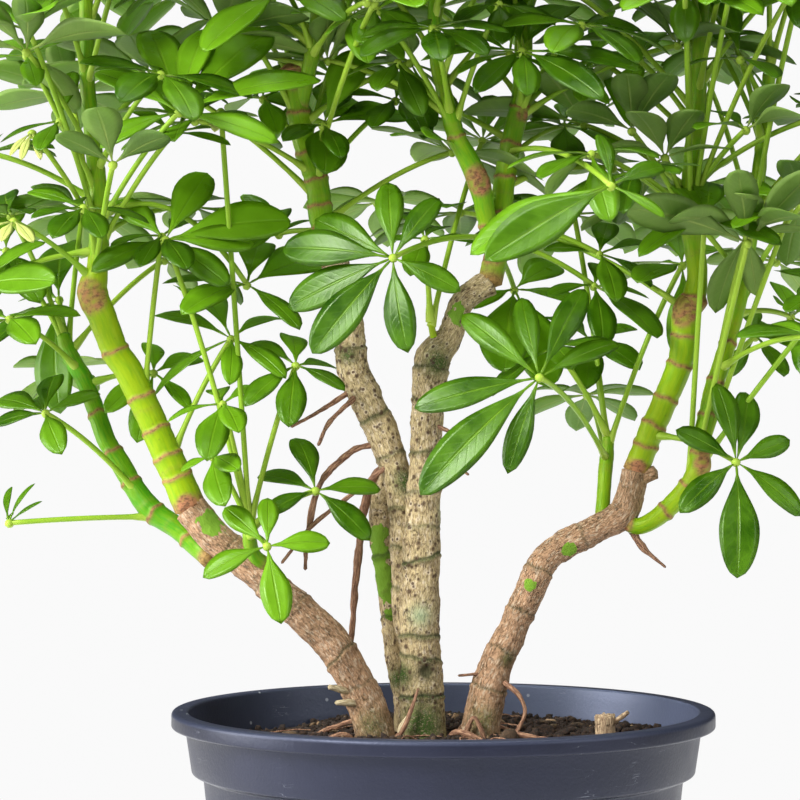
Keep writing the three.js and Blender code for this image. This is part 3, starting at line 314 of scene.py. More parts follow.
def between(span: Pair, share: float) -> float:
    """The value at a share of the way from the first of two numbers to the second."""
    return span[0] + (span[1] - span[0]) * share


def unit(vectors: Array) -> Array:
    """The same directions with a length of one."""
    return vectors / np.maximum(np.linalg.norm(vectors, axis=-1, keepdims=True), 1e-12)


def smooth(values: Array, low: float, high: float) -> Array:
    """A smooth step: 0 up to low, 1 from high on, and 3t^2 - 2t^3 between them."""
    share = np.clip((values - low) / (high - low), 0, 1)
    return share * share * (3 - 2 * share)


def bell(values: Array, width: float) -> Array:
    """A bell of height 1 round 0: e to the minus square of value over width."""
    return np.exp(-((values / width) ** 2))


def noise(points: Array, size: float, seed: float = 0) -> Array:
    """Smooth noise between -1 and 1 with lumps of about `size`.

    Each corner of the cell that a point lies in has a repeatable draw, and the eight draws are blended by
    a smooth step along each axis.
    """
    place = points / size
    cell = np.floor(place)
    part = place - cell
    share = part * part * (3 - 2 * part)
    total = np.zeros(points.shape[:-1])
    for corner in itertools.product((0, 1), repeat=3):
        weight = np.prod(np.where(np.array(corner) == 1, share, 1 - share), axis=-1)
        mixed = (cell + corner) @ np.array([127.1, 311.7, 74.7]) + 19.19 * seed
        value = np.sin(mixed) * 43758.5453
        total += weight * (value - np.floor(value))
    return 2 * total - 1


@dataclass(frozen=True)
class Route:
    """A Catmull-Rom curve through points of (x, y, z, radius), with its ends run straight on."""

    points: tuple[RoutePoint, ...]

    def at(self, shares: Array) -> Array:
        """Places on the line.

        Between two points the curve is a cubic that leaves each point along half the chord of its
        neighbours, and the shares count the points evenly.

        Args:
            shares: shares of the line from 0 to 1, in any shape.

        Returns:
            The places, with one more axis of three numbers.
        """
        given = np.array(self.points)[:, :3]
        ends = np.concatenate([[2 * given[0] - given[1]], given, [2 * given[-1] - given[-2]]])
        place = np.clip(shares, 0, 1) * (len(given) - 1)
        index = np.minimum(place.astype(int), len(given) - 2)
        part = (place - index)[..., None]
        before, first, second, after = (ends[index + k] for k in range(4))
        leave, arrive = (second - before) / 2, (after - first) / 2
        square = part * part
        cube = square * part
        return (
            first
            + leave * part
            + (3 * (second - first) - 2 * leave - arrive) * square
            + (2 * (first - second) + leave + arrive) * cube
        )

    def radius(self, shares: Array) -> Array:
        """The radius at each share, straight between the points."""
        radii = [point[3] for point in self.points]
        return np.interp(shares * (len(radii) - 1), np.arange(len(radii)), radii)

    def evenly(self, step: float) -> tuple[Array, Array]:
        """Shares about `step` mm apart along the line, and how far along it each of them lies."""
        fine = np.linspace(0, 1, 40 * len(self.points))
        gaps = np.linalg.norm(np.diff(self.at(fine), axis=0), axis=1)
        lengths = np.concatenate([[0], np.cumsum(gaps)])
        count = max(int(lengths[-1] / step), 4)
        along = np.linspace(0, lengths[-1], count + 1)
        return np.interp(along, lengths, fine), along


# ---------------------------------------------------------------- skins: grids of points as meshes


def tube_faces(count: int, rows: int, sides: int) -> tuple[Array, Array]:
    """Faces of `count` equal closed tubes: quads between neighbouring rings and a fan at each end.

    A tube's points are its rings in order, then the pole before the first ring and the pole after the last.

    Args:
        count: how many tubes.
        rows: rings in a tube.
        sides: points in a ring.

    Returns:
        The quads of all tubes and the triangles of all tubes, as arrays of point numbers.
    """
    row, side = np.meshgrid(np.arange(rows - 1), np.arange(sides), indexing="ij")
    after = (side + 1) % sides
    here, above = row * sides, (row + 1) * sides
    quads = np.stack([here + side, here + after, above + after, above + side], axis=-1).reshape(-1, 4)
    ring = np.arange(sides)
    following = (ring + 1) % sides
    last = (rows - 1) * sides
    first_pole = np.full(sides, rows * sides)
    fans = np.concatenate(
        [
            np.stack([first_pole, following, ring], axis=-1),
            np.stack([first_pole + 1, last + ring, last + following], axis=-1),
        ]
    )
    starts = np.arange(count)[:, None, None] * (rows * sides + 2)
    return (quads + starts).reshape(-1, 4), (fans + starts).reshape(-1, 3)


def ring_frames(centres: Array) -> tuple[Array, Array, Array]:
    """Two directions across a line and the one along it, at every station.

    The line's direction is the difference of its neighbours. The first direction across is square to it
    and to the axis that the whole line runs along least, and the second completes the right-handed three.

    Args:
        centres: stations of one or many lines, in the shape (lines, stations, 3).

    Returns:
        The directions across, across again and along, in the same shape.
    """
    tangent = unit(np.gradient(centres, axis=1))
    chord = np.abs(centres[:, -1] - centres[:, 0])
    axis = np.eye(3)[np.argmin(chord, axis=1)][:, None, :]
    across = unit(np.cross(axis, tangent))
    return across, np.cross(tangent, across), tangent


def tube_points(centres: Array, radii: Array, sides: int, cap: float = 0.3) -> Array:
    """Points of closed tubes: a circle of each station's radius round it, and a pole past each end.

    Args:
        centres: stations in the shape (lines, stations, 3).
        radii: radii in the shape (lines, stations) or (lines, stations, sides).
        sides: points in a ring.
        cap: how far a pole stands past its end, as a share of the radius there.

    Returns:
        Points in the shape (lines, stations * sides + 2, 3), in the order that tube_faces reads.
    """
    across, other, tangent = ring_frames(centres)
    angle = np.arange(sides) * FULL_TURN / sides
    spread = radii[..., None] if radii.ndim == 2 else radii
    spread = np.broadcast_to(spread, (*centres.shape[:2], sides))[..., None]
    circle = np.cos(angle)[:, None] * across[:, :, None] + np.sin(angle)[:, None] * other[:, :, None]
    rings = centres[:, :, None] + spread * circle
    lengths = spread.mean(axis=2) * cap
    first = centres[:, 0] - lengths[:, 0] * tangent[:, 0]
    last = centres[:, -1] + lengths[:, -1] * tangent[:, -1]
    return np.concatenate([rings.reshape(len(centres), -1, 3), first[:, None], last[:, None]], axis=1)


def with_poles(values: Array) -> Array:
    """Painted values of a tube's rings, followed by the mean of its first ring and of its last ring.

    Args:
        values: values in the shape (lines, stations, sides) or (lines, stations, sides, 3).

    Returns:
        One value, or one triple, for each point of the tubes, in one list.
    """
    poles = np.stack([values[:, 0].mean(axis=1), values[:, -1].mean(axis=1)], axis=1)
    flat = values.reshape(len(values), -1, *values.shape[3:])
    joined = np.concatenate([flat, poles], axis=1)
    return joined.reshape(-1, *values.shape[3:])


@dataclass
class Skin:
    """The points, faces and painted values of one piece, gathered shape by shape."""

    name: str
    points: list[Array] = field(default_factory=list)
    faces: list[Array] = field(default_factory=list)
    slots: list[Array] = field(default_factory=list)
    paint: dict[str, list[Array]] = field(default_factory=dict)
    count: int = 0

    def add(
        self, points: Array, faces: Sequence[Array], slots: Sequence[int | Array], **paint: Array
    ) -> None:
        """Adds a shape.

        Args:
            points: its points, in the shape (n, 3).
            faces: arrays of triangles or quads, numbered from the shape's own first point.
            slots: for each array of faces, their material's number, or one for each face.
            paint: painted values, one or three for each point; a name that a shape leaves out stays 0.
        """
        self.points.append(points)
        for part, slot in zip(faces, slots):
            self.faces.append(part + self.count)
            self.slots.append(np.broadcast_to(slot, len(part)))
        for name, values in paint.items():
            known = self.paint.setdefault(name, [])
            missing = self.count - sum(len(part) for part in known)
            if missing:
                known.append(np.zeros((missing, *values.shape[1:])))
            known.append(values)
        self.count += len(points)

    def finish(self, materials: Sequence[Material], slot: str, *nodes: str) -> Piece:
        """Makes the piece's object, which rides on the plant's one body.

        Args:
            materials: the materials that the faces' numbers stand for.
            slot: the name of a material slot; not used.
            nodes: the solids that the piece stands for.

        Returns:
            The object, at the origin, with its place in its mesh.
        """
        mesh = bpy.data.meshes.new(self.name)
        points = np.concatenate(self.points) * MM
        mesh.vertices.add(len(points))
        mesh.vertices.foreach_set("co", points.astype(np.float32).ravel())
        widths = np.concatenate([np.full(len(part), part.shape[1]) for part in self.faces])
        corners = np.concatenate([part.ravel() for part in self.faces])
        mesh.loops.add(len(corners))
        mesh.loops.foreach_set("vertex_index", corners.astype(np.int32))
        mesh.polygons.add(len(widths))
        starts = np.concatenate([[0], np.cumsum(widths)[:-1]])
        mesh.polygons.foreach_set("loop_start", starts.astype(np.int32))
        mesh.polygons.foreach_set("material_index", np.concatenate(self.slots).astype(np.int32))
        mesh.update(calc_edges=True)
        for name, parts in self.paint.items():
            values = np.concatenate(parts)
            values = np.concatenate([values, np.zeros((len(points) - len(values), *values.shape[1:]))])
            vector = values.ndim == 2
            layer = mesh.attributes.new(name, "FLOAT_VECTOR" if vector else "FLOAT", "POINT")
            layer.data.foreach_set("vector" if vector else "value", values.astype(np.float32).ravel())
        mesh.shade_smooth()
        for material in materials:
            mesh.materials.append(material)
        piece = bpy.data.objects.new(self.name, mesh)
        bpy.context.scene.collection.objects.link(piece)
        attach(piece, "root")
        if nodes:
            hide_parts(*nodes)
        triangles = int(np.sum(widths - 2))
        log.info("%s: %d triangles, stands for %s", self.name, triangles, ", ".join(nodes) or "nothing")
        return piece


# ---------------------------------------------------------------- shader trees


@dataclass
class Sheet:
    """A node tree being drawn: each method adds one node and hands back its main output."""

    tree: Tree

    def node(self, kind: str, feeds: dict[str | int, object] | None = None, **settings: object) -> Node:
        """Adds a node.

        Args:
            kind: the node's type.
            feeds: for an input's name or number, a socket to link to it or a value to set on it.
            settings: the node's own settings.

        Returns:
            The node.
        """
        made = self.tree.nodes.new(kind)
        for name, value in settings.items():
            setattr(made, name, value)
        for name, value in (feeds or {}).items():
            self.feed(made.inputs[name], value)
        return made

    def feed(self, socket: Socket, value: object) -> None:
        """Links a socket to an input, or sets a plain value on it; a colour gets an alpha of 1."""
        if isinstance(value, Socket):
            self.tree.links.new(value, socket)
        elif isinstance(value, tuple) and socket.type == "RGBA" and len(value) == 3:
            socket.default_value = (*value, 1)
        else:
            socket.default_value = value

    def maths(self, operation: str, first: object, second: object = 0.0, third: object = 0.0) -> Socket:
        """One sum, product or other operation on values."""
        return self.node("ShaderNodeMath", {0: first, 1: second, 2: third}, operation=operation).outputs[0]

    def times(self, first: object, second: object) -> Socket:
        """The product of two values."""
        return self.maths("MULTIPLY", first, second)

    def plus(self, first: object, factor: object, more: object) -> Socket:
        """The product of two values, and a third added."""
        return self.maths("MULTIPLY_ADD", first, factor, more)

    def less(self, first: object, second: object) -> Socket:
        """The first value less the second."""
        return self.maths("SUBTRACT", first, second)

    def rest(self, share: object) -> Socket:
        """What a share leaves of one."""
        return self.less(1.0, share)

    def span(self, value: Socket, low: object, high: object, start: float = 0.0, end: float = 1.0) -> Socket:
        """A value taken along a smooth step from the range low to high to the range start to end."""
        feeds = {"Value": value, "From Min": low, "From Max": high, "To Min": start, "To Max": end}
        return self.node("ShaderNodeMapRange", feeds, interpolation_type="SMOOTHSTEP").outputs[0]

    def mix(self, share: object, first: object, second: object) -> Socket:
        """A colour that goes from the first to the second."""
        feeds = {0: share, 6: first, 7: second}
        return self.node("ShaderNodeMix", feeds, data_type="RGBA").outputs[2]

    def blend(self, share: object, first: Node, second: Node) -> Node:
        """A shader that goes from the first to the second."""
        return self.node("ShaderNodeMixShader", {0: share, 1: first.outputs[0], 2: second.outputs[0]})

    def noise(self, vector: Socket, scale: float, detail: float = 2.0, roughness: float = 0.55) -> Socket:
        """Blender's own noise, from 0 to 1."""
        feeds = {"Vector": vector, "Scale": scale, "Detail": detail, "Roughness": roughness}
        return self.node("ShaderNodeTexNoise", feeds).outputs[0]

    def stretched(self, vector: Socket, scale: Point) -> Socket:
        """A pattern's place, scaled along its three axes."""
        return self.node("ShaderNodeMapping", {"Vector": vector, "Scale": scale}).outputs[0]

    def painted(self, name: str, output: str = "Vector") -> Socket:
        """A painted vector, or with the output Fac a painted value."""
        return self.node("ShaderNodeAttribute", attribute_name=name).outputs[output]

    def parts(self, name: str) -> Outputs:
        """The three numbers of a painted vector."""
        return self.node("ShaderNodeSeparateXYZ", {0: self.painted(name)}).outputs

    def place(self) -> Socket:
        """The object's own coordinates."""
        return self.node("ShaderNodeTexCoord").outputs["Object"]

    def group(self, shared: Tree, **feeds: object) -> Socket:
        """Places a shared effect; an underscore in an input's name stands for a space."""
        made = self.node("ShaderNodeGroup", node_tree=shared)
        for name, value in feeds.items():
            self.feed(made.inputs[name.replace("_", " ")], value)
        return made.outputs[0]


def new_effect(name: str, **inputs: float | None) -> tuple[Sheet, Outputs, Socket]:
    """Starts a shared effect with one output, Mask.

    Args:
        name: the effect's name.
        inputs: for each input, its default value, or None where it is a vector.

    Returns:
        The effect's sheet, what it is given, and the socket that takes its mask.
    """
    tree = bpy.data.node_groups.new(name, "ShaderNodeTree")
    for label, value in inputs.items():
        kind = "NodeSocketVector" if value is None else "NodeSocketFloat"
        socket = tree.interface.new_socket(label, in_out="INPUT", socket_type=kind)
        if value is not None:
            socket.default_value = value
    tree.interface.new_socket("Mask", in_out="OUTPUT", socket_type="NodeSocketFloat")
    given, result = tree.nodes.new("NodeGroupInput"), tree.nodes.new("NodeGroupOutput")
    return Sheet(tree), given.outputs, result.inputs[0]


def make_specks() -> Tree:
    """The effect Specks: small round spots where a cell's own draw passes a threshold."""
    sheet, given, mask = new_effect("Specks", Vector=None, Scale=1.0, Share=0.1, Size=0.3)
    feeds = {"Vector": given["Vector"], "Scale": given["Scale"]}
    cells = sheet.node("ShaderNodeTexVoronoi", feeds).outputs
    chosen = sheet.node("ShaderNodeSeparateColor", {0: cells["Color"]}).outputs[0]
    few = sheet.maths("LESS_THAN", chosen, given["Share"])
    near = sheet.maths("DIVIDE", cells["Distance"], given["Size"])
    sheet.feed(mask, sheet.times(few, sheet.rest(sheet.span(near, 0.6, 1.0))))
    return sheet.tree


def make_mottle() -> Tree:
    """The effect Mottle: soft patches from 0 to 1, large ones with finer ones in them."""
    sheet, given, mask = new_effect("Mottle", Vector=None, Scale=1.0, Low=0.35, High=0.65)
    patches = sheet.noise(given["Vector"], given["Scale"], 4.0, 0.6)
    sheet.feed(mask, sheet.span(patches, given["Low"], given["High"]))
    return sheet.tree


def make_fissures() -> Tree:
    """The effect Fissures: thin dark lines where stretched noise crosses its middle value."""
    sheet, given, mask = new_effect("Fissures", Vector=None, Scale=1.0, Width=0.06)
    off = sheet.less(sheet.noise(given["Vector"], given["Scale"], 3.0, 0.5), 0.5)
    near = sheet.maths("DIVIDE", sheet.maths("ABSOLUTE", off), given["Width"])
    sheet.feed(mask, sheet.rest(sheet.span(near, 0.2, 1.0)))
    return sheet.tree


def make_veins() -> Tree:
    """The effect Veins: a leaflet's fine side veins, which leave the midrib slanting towards the tip.

    The distance along less a share of the distance across is the same all along one side vein, so a vein
    lies where the fraction of its multiple is near a half.
    """
    sheet, given, mask = new_effect("Veins", Along=0.0, Across=0.0, Count=11.0)
    slant = sheet.times(sheet.maths("ABSOLUTE", given["Across"]), 0.16)
    place = sheet.times(sheet.less(given["Along"], slant), given["Count"])
    off = sheet.less(sheet.maths("FRACT", place), 0.5)
    sheet.feed(mask, sheet.rest(sheet.span(sheet.maths("ABSOLUTE", off), 0.03, 0.16)))
    return sheet.tree


@dataclass(frozen=True)
class Effects:
    """The shared effects that the finishes place."""

    specks: Tree
    mottle: Tree
    fissures: Tree
    veins: Tree


@dataclass
class Finish(Sheet):
    """A material's node tree, with one Principled shader that already reaches the output."""

    material: Material
    shader: Node

    @classmethod
    def start(cls, name: str, **constants: object) -> "Finish":
        """Starts a material.

        Args:
            name: the material's name.
            constants: plain values for the shader's sockets; an underscore stands for a space.

        Returns:
            The finish.
        """
        material = bpy.data.materials.new(name)
        material.use_nodes = True
        finish = cls(material.node_tree, material, material.node_tree.nodes["Principled BSDF"])
        for label, value in constants.items():
            finish.set(label.replace("_", " "), value)
        return finish

    def set(self, label: str, value: object) -> None:
        """Gives one of the shader's inputs a socket or a plain value."""
        self.feed(self.shader.inputs[label], value)

    def bump(self, height: Socket, depth: float) -> None:
        """Gives the shader small relief, `depth` metres deep where the height goes from 0 to 1."""
        feeds = {"Height": height, "Distance": depth, "Strength": 1.0}
        self.set("Normal", self.node("ShaderNodeBump", feeds).outputs[0])

    def show(self, mixed: Node) -> Material:
        """Puts another shader before the output."""
        self.feed(self.tree.nodes["Material Output"].inputs["Surface"], mixed.outputs[0])
        return self.material


@dataclass(frozen=True)
class PotPlastic:
    """Charcoal moulded plastic with a satin skin, pale scuffs, a few mineral specks and a painted bluish
    reflection on its inner wall and rim.
    """

    deep: Colour = (0.0045, 0.005, 0.0115)
    worn: Colour = (0.0085, 0.0095, 0.021)
    scuff: Colour = (0.3, 0.32, 0.36)
    # Painted reflection: a bluish colour that stands in for the lamps' glare on the inner wall and the rim's
    # top.
    reflection_colour: Colour = (0.1, 0.12, 0.19)
    roughness: float = 0.34

    def build(self, effects: Effects) -> Material:
        """Makes the material, with its patterns on the object's own coordinates."""
        sheet = Finish.start("pot_plastic", Specular_IOR_Level=0.42, Specular_Tint=(0.72, 0.78, 1.0))
        place = sheet.place()
        cloud = sheet.group(effects.mottle, Vector=place, Scale=22.0, Low=0.3, High=0.75)
        plain = sheet.mix(cloud, self.deep, self.worn)
        # The painted value inside carries painted reflection: it lightens the inner wall, most at its back
        # right, and the rim's top a little, towards the bluish reflection colour.
        inside = sheet.painted("inside", "Fac")
        colour = sheet.mix(sheet.times(inside, 0.8), plain, self.reflection_colour)
        turned = sheet.stretched(place, (1.0, 1.0, 9.0))
        scratches = sheet.group(effects.fissures, Vector=turned, Scale=26.0, Width=0.004)
        worn_part = sheet.group(effects.mottle, Vector=place, Scale=60.0, Low=0.55, High=0.7)
        marks = sheet.times(scratches, worn_part)
        specks = sheet.group(effects.specks, Vector=place, Scale=260.0, Share=0.012, Size=0.26)
        worn = sheet.maths("MAXIMUM", sheet.times(marks, 0.5), sheet.times(specks, 0.7))
        sheet.set("Base Color", sheet.mix(worn, colour, self.scuff))
        fine = sheet.noise(place, 700.0, 3.0)
        rough = sheet.plus(cloud, 0.12, self.roughness)
        sheet.set("Roughness", rough)
        sheet.bump(fine, 0.00012)
        return sheet.material


@dataclass(frozen=True)
class Earth:
    """Dark damp potting soil with fine crumbs; a painted tint makes some crumbs paler or redder."""

    dark: Colour = (0.012, 0.0075, 0.005)
    brown: Colour = (0.06, 0.028, 0.013)
    pale: Colour = (0.3, 0.19, 0.1)

    def build(self, effects: Effects) -> Material:
        """Makes the material from noise on the object's coordinates and the painted tint."""
        sheet = Finish.start("potting_soil", Roughness=0.95)
        place = sheet.place()
        tint = sheet.painted("tint", "Fac")
        grain = sheet.noise(place, 900.0, 5.0, 0.7)
        ground = sheet.mix(sheet.span(grain, 0.4, 0.7), self.dark, self.brown)
        chosen = sheet.mix(sheet.span(tint, 0.35, 0.9), ground, self.pale)
        specks = sheet.group(effects.specks, Vector=place, Scale=420.0, Share=0.06, Size=0.28)
        sheet.set("Base Color", sheet.mix(sheet.times(specks, 0.5), chosen, self.pale))
        sheet.bump(grain, 0.0012)
        return sheet.material


@dataclass(frozen=True)
class Bark:
    """Beige bark with fine upright grain, few cracks, dark pores, ring scars, moss and green young bark."""

    grey: Colour = (0.53, 0.425, 0.22)
    pink: Colour = (0.46, 0.275, 0.155)
    tan: Colour = (0.09, 0.047, 0.018)
    crack: Colour = (0.032, 0.036, 0.01)
    pore: Colour = (0.06, 0.028, 0.014)
    rim: Colour = (0.72, 0.6, 0.44)
    moss: Colour = (0.05, 0.1, 0.012)
    lichen: Colour = (0.27, 0.36, 0.2)
    young: Colour = (0.15, 0.29, 0.018)

    def build(self, effects: Effects) -> Material:
        """Makes the material; its patterns follow the painted place on the limb, in millimetres.

        Marks are ring scar, moss and green bark, and spots are pore, lichen and how pink the bark is.
        """
        sheet = Finish.start("bark", Roughness=0.8, Specular_IOR_Level=0.3)
        place = sheet.painted("grain")
        marks = sheet.parts("marks")
        spots = sheet.parts("spots")
        long = sheet.stretched(place, (1.0, 1.0, 0.36))
        cloud = sheet.group(effects.mottle, Vector=place, Scale=0.16, Low=0.4, High=0.66)
        fine = sheet.noise(long, 1.6, 5.0, 0.72)
        pale = sheet.mix(spots[2], self.grey, self.pink)
        streaks = sheet.span(fine, 0.4, 0.68, 0.0, 0.75)
        bare = sheet.mix(sheet.plus(cloud, 0.3, streaks), pale, self.tan)
        rims = sheet.group(effects.specks, Vector=place, Scale=0.3, Share=0.5, Size=0.42)
        flakes = sheet.group(effects.mottle, Vector=long, Scale=0.9, Low=0.53, High=0.62)
        scaly = sheet.mix(sheet.times(flakes, 0.4), bare, self.rim)
        ground = sheet.mix(sheet.times(rims, sheet.span(spots[2], 0.0, 1.0, 0.45, 0.1)), scaly, self.rim)
        frosted = sheet.mix(sheet.times(spots[1], 0.75), ground, self.lichen)
        ragged = sheet.maths("ADD", marks[2], sheet.noise(place, 0.3, 3.0, 0.7))
        green = sheet.mix(sheet.span(ragged, 0.82, 1.1), frosted, self.young)
        clumps = sheet.span(sheet.noise(place, 1.4, 3.0, 0.75), 0.38, 0.52, 0.35, 1.0)
        grown = sheet.mix(sheet.times(sheet.times(marks[1], clumps), 0.95), green, self.moss)
        keep = sheet.rest(marks[2])
        lines = sheet.times(sheet.group(effects.fissures, Vector=long, Scale=0.5, Width=0.016), keep)
        cracked = sheet.mix(sheet.times(lines, sheet.span(cloud, 0.2, 0.9, 0.1, 0.6)), grown, self.crack)
        ringed = sheet.mix(sheet.times(marks[0], 0.9), cracked, self.crack)
        small = sheet.group(effects.specks, Vector=place, Scale=0.3, Share=0.5, Size=0.25)
        few = sheet.span(spots[2], 0.0, 1.0, 1.0, 0.25)
        dots = sheet.times(sheet.maths("MAXIMUM", spots[0], sheet.times(small, keep)), few)
        sheet.set("Base Color", sheet.mix(sheet.times(dots, 0.9), ringed, self.pore))
        height = sheet.less(sheet.times(fine, 0.6), sheet.times(lines, 0.6))
        mossy = sheet.plus(clumps, sheet.times(marks[1], 0.8), height)
        sheet.bump(mossy, 0.0011)
        return sheet.material


@dataclass(frozen=True)
class DryWood:
    """Reddish brown or bleached dry wood in thin fibres: aerial roots, the old stub and loose fibres."""

    name: str
    pale: Colour
    dark: Colour

    def build(self, effects: Effects) -> Material:
        """Makes the material, with fibres along the painted place."""
        sheet = Finish.start(self.name, Roughness=0.75, Specular_IOR_Level=0.3)
        place = sheet.painted("grain")
        long = sheet.stretched(place, (1.6, 1.6, 0.22))
        fibres = sheet.noise(long, 1.2, 3.0, 0.65)
        lines = sheet.group(effects.fissures, Vector=long, Scale=1.0, Width=0.05)
        ground = sheet.mix(sheet.span(fibres, 0.35, 0.7), self.pale, self.dark)
        sheet.set("Base Color", sheet.mix(sheet.times(lines, 0.6), ground, self.dark))
        sheet.bump(sheet.less(fibres, lines), 0.0004)
        return sheet.material


@dataclass(frozen=True)
class GreenStem:
    """Smooth yellow-green young stem, greener in places, with brown ring scars and knobs."""

    lime: Colour = (0.225, 0.335, 0.004)
    grass: Colour = (0.05, 0.24, 0.006)
    scar: Colour = (0.3, 0.125, 0.065)
    burnt: Colour = (0.075, 0.03, 0.02)

    def build(self, effects: Effects) -> Material:
        """Makes the material; marks x is a scar and marks y is how grassy the green is."""
        sheet = Finish.start("green_stem", Specular_IOR_Level=0.35, Specular_Tint=(0.9, 1.0, 0.4))
        place = sheet.painted("grain")
        marks = sheet.parts("marks")
        long = sheet.stretched(place, (1.0, 1.0, 0.12))
        streaks = sheet.noise(long, 0.9, 3.0, 0.6)
        shade = sheet.maths("ADD", marks[1], sheet.span(streaks, 0.35, 0.75, -0.12, 0.3))
        green = sheet.mix(shade, self.lime, self.grass)
        scarred = sheet.mix(marks[0], green, self.scar)
        flecks = sheet.group(effects.specks, Vector=place, Scale=0.55, Share=0.1, Size=0.3)
        dark = sheet.times(marks[0], sheet.span(sheet.noise(place, 0.7, 3.0, 0.7), 0.45, 0.62))
        spotted = sheet.maths("MAXIMUM", sheet.times(dark, 0.8), sheet.times(flecks, 0.25))
        sheet.set("Base Color", sheet.mix(spotted, scarred, self.burnt))
        sheet.set("Roughness", sheet.plus(marks[0], 0.35, 0.4))
        sheet.bump(streaks, 0.00025)
        return sheet.material


@dataclass(frozen=True)
class StalkGreen:
    """Pale yellow-green leaf stalks and hubs, whitest where a stalk clasps its stem."""

    base: Colour = (0.34, 0.46, 0.06)
    middle: Colour = (0.25, 0.38, 0.03)
    deep: Colour = (0.17, 0.33, 0.015)

    def build(self, effects: Effects) -> Material:
        """Makes the material; stalk x runs along it, stalk y is the leaf's own tint."""
        tinge = (0.9, 1.0, 0.5)
        sheet = Finish.start("stalk_green", Roughness=0.42, Specular_IOR_Level=0.35, Specular_Tint=tinge)
        stalk = sheet.parts("stalk")
        place = sheet.place()
        patches = sheet.group(effects.mottle, Vector=place, Scale=90.0, Low=0.3, High=0.7)
        share = sheet.plus(patches, 0.35, sheet.times(stalk[1], 0.65))
        own = sheet.mix(share, self.middle, self.deep)
        foot = sheet.rest(sheet.span(stalk[0], 0.0, 0.22))
        tip = sheet.span(stalk[0], 0.85, 1.0, 0.0, 0.5)
        sheet.set("Base Color", sheet.mix(sheet.maths("MAXIMUM", foot, tip), own, self.base))
        return sheet.material


class LeafSide(Enum):
    """The two faces of a leaflet."""

    TOP = "leaf_top"
    UNDER = "leaf_under"


@dataclass(frozen=True)
class LeafSkin:
    """One face of the leaflets: glossy and deep green above, dull and grey-green below."""

    side: LeafSide
    dark: Colour
    light: Colour
    young: Colour
    rib: Colour
    glow: Colour
    roughness: float
    shine: float
    glow_share: float = 0.37

    def build(self, effects: Effects) -> Material:
        """Makes the material from the painted place on the leaflet: along, across and the leaf's tint."""
        sheet = Finish.start(self.side.value, Specular_IOR_Level=self.shine, Specular_Tint=(0.8, 1.0, 0.6))
        blade = sheet.parts("blade")
        youth = sheet.painted("youth", "Fac")
        place = sheet.place()
        cloud = sheet.group(effects.mottle, Vector=place, Scale=75.0, Low=0.3, High=0.7)
        share = sheet.plus(cloud, 0.3, sheet.span(blade[2], 0.2, 0.85, 0.0, 0.7))
        green = sheet.mix(share, self.dark, self.light)
        fresh = sheet.mix(youth, green, self.young)
        veins = sheet.group(effects.veins, Along=blade[0], Across=blade[1], Count=13.0)
        veined = sheet.mix(sheet.times(veins, 0.06), fresh, self.rib)
        aside = sheet.maths("ABSOLUTE", blade[1])
        ribs = sheet.rest(sheet.span(aside, 0.015, 0.1))
        thin = sheet.span(blade[0], 0.1, 0.95, 1.0, 0.25)
        stemmed = sheet.rest(sheet.span(blade[0], 0.1, 0.2))
        rib = sheet.maths("MAXIMUM", sheet.times(ribs, thin), stemmed)
        coloured = sheet.mix(sheet.times(rib, 0.65), veined, self.rib)
        sheet.set("Base Color", coloured)
        sheet.set("Roughness", sheet.plus(cloud, 0.1, self.roughness))
        lumps = sheet.times(sheet.noise(place, 420.0, 2.0), 0.3)
        relief = sheet.less(lumps, sheet.times(veins, 0.12))
        sheet.bump(sheet.less(relief, ribs), 0.00025)
        through = sheet.node("ShaderNodeBsdfTranslucent", {"Color": sheet.mix(rib, self.glow, self.rib)})
        return sheet.show(sheet.blend(self.glow_share, sheet.shader, through))


@dataclass(frozen=True)
class Finishes:
    """Every material of the plant, made once."""

    pot: Material
    earth: Material
    bark: Material
    root: Material
    stub: Material
    nub: Material
    stem: Material
    stalk: Material
    leaf_top: Material
    leaf_under: Material


def make_finishes() -> Finishes:
    """Makes the shared effects once, and then every material."""
    effects = Effects(make_specks(), make_mottle(), make_fissures(), make_veins())
    top = LeafSkin(
        LeafSide.TOP,
        dark=(0.007, 0.036, 0.001),
        light=(0.17, 0.38, 0.01),
        young=(0.62, 0.62, 0.2),
        rib=(0.2, 0.38, 0.012),
        glow=(0.5, 0.8, 0.01),
        roughness=0.27,
        shine=0.5,
        glow_share=0.31,
    )
    under = LeafSkin(
        LeafSide.UNDER,
        dark=(0.05, 0.1, 0.016),
        light=(0.2, 0.29, 0.07),
        young=(0.62, 0.62, 0.22),
        rib=(0.36, 0.47, 0.1),
        glow=(0.4, 0.72, 0.004),
        roughness=0.5,
        shine=0.35,
        glow_share=0.24,
    )
    return Finishes(
        pot=PotPlastic().build(effects),
        earth=Earth().build(effects),
        bark=Bark().build(effects),
        root=DryWood("root_wood", (0.42, 0.24, 0.14), (0.17, 0.075, 0.045)).build(effects),
        stub=DryWood("stub_wood", (0.56, 0.42, 0.26), (0.22, 0.13, 0.07)).build(effects),
        nub=DryWood("nub_wood", (0.72, 0.62, 0.4), (0.45, 0.33, 0.17)).build(effects),
        stem=GreenStem().build(effects),
        stalk=StalkGreen().build(effects),
        leaf_top=top.build(effects),
        leaf_under=under.build(effects),
    )


# ---------------------------------------------------------------- pot and soil


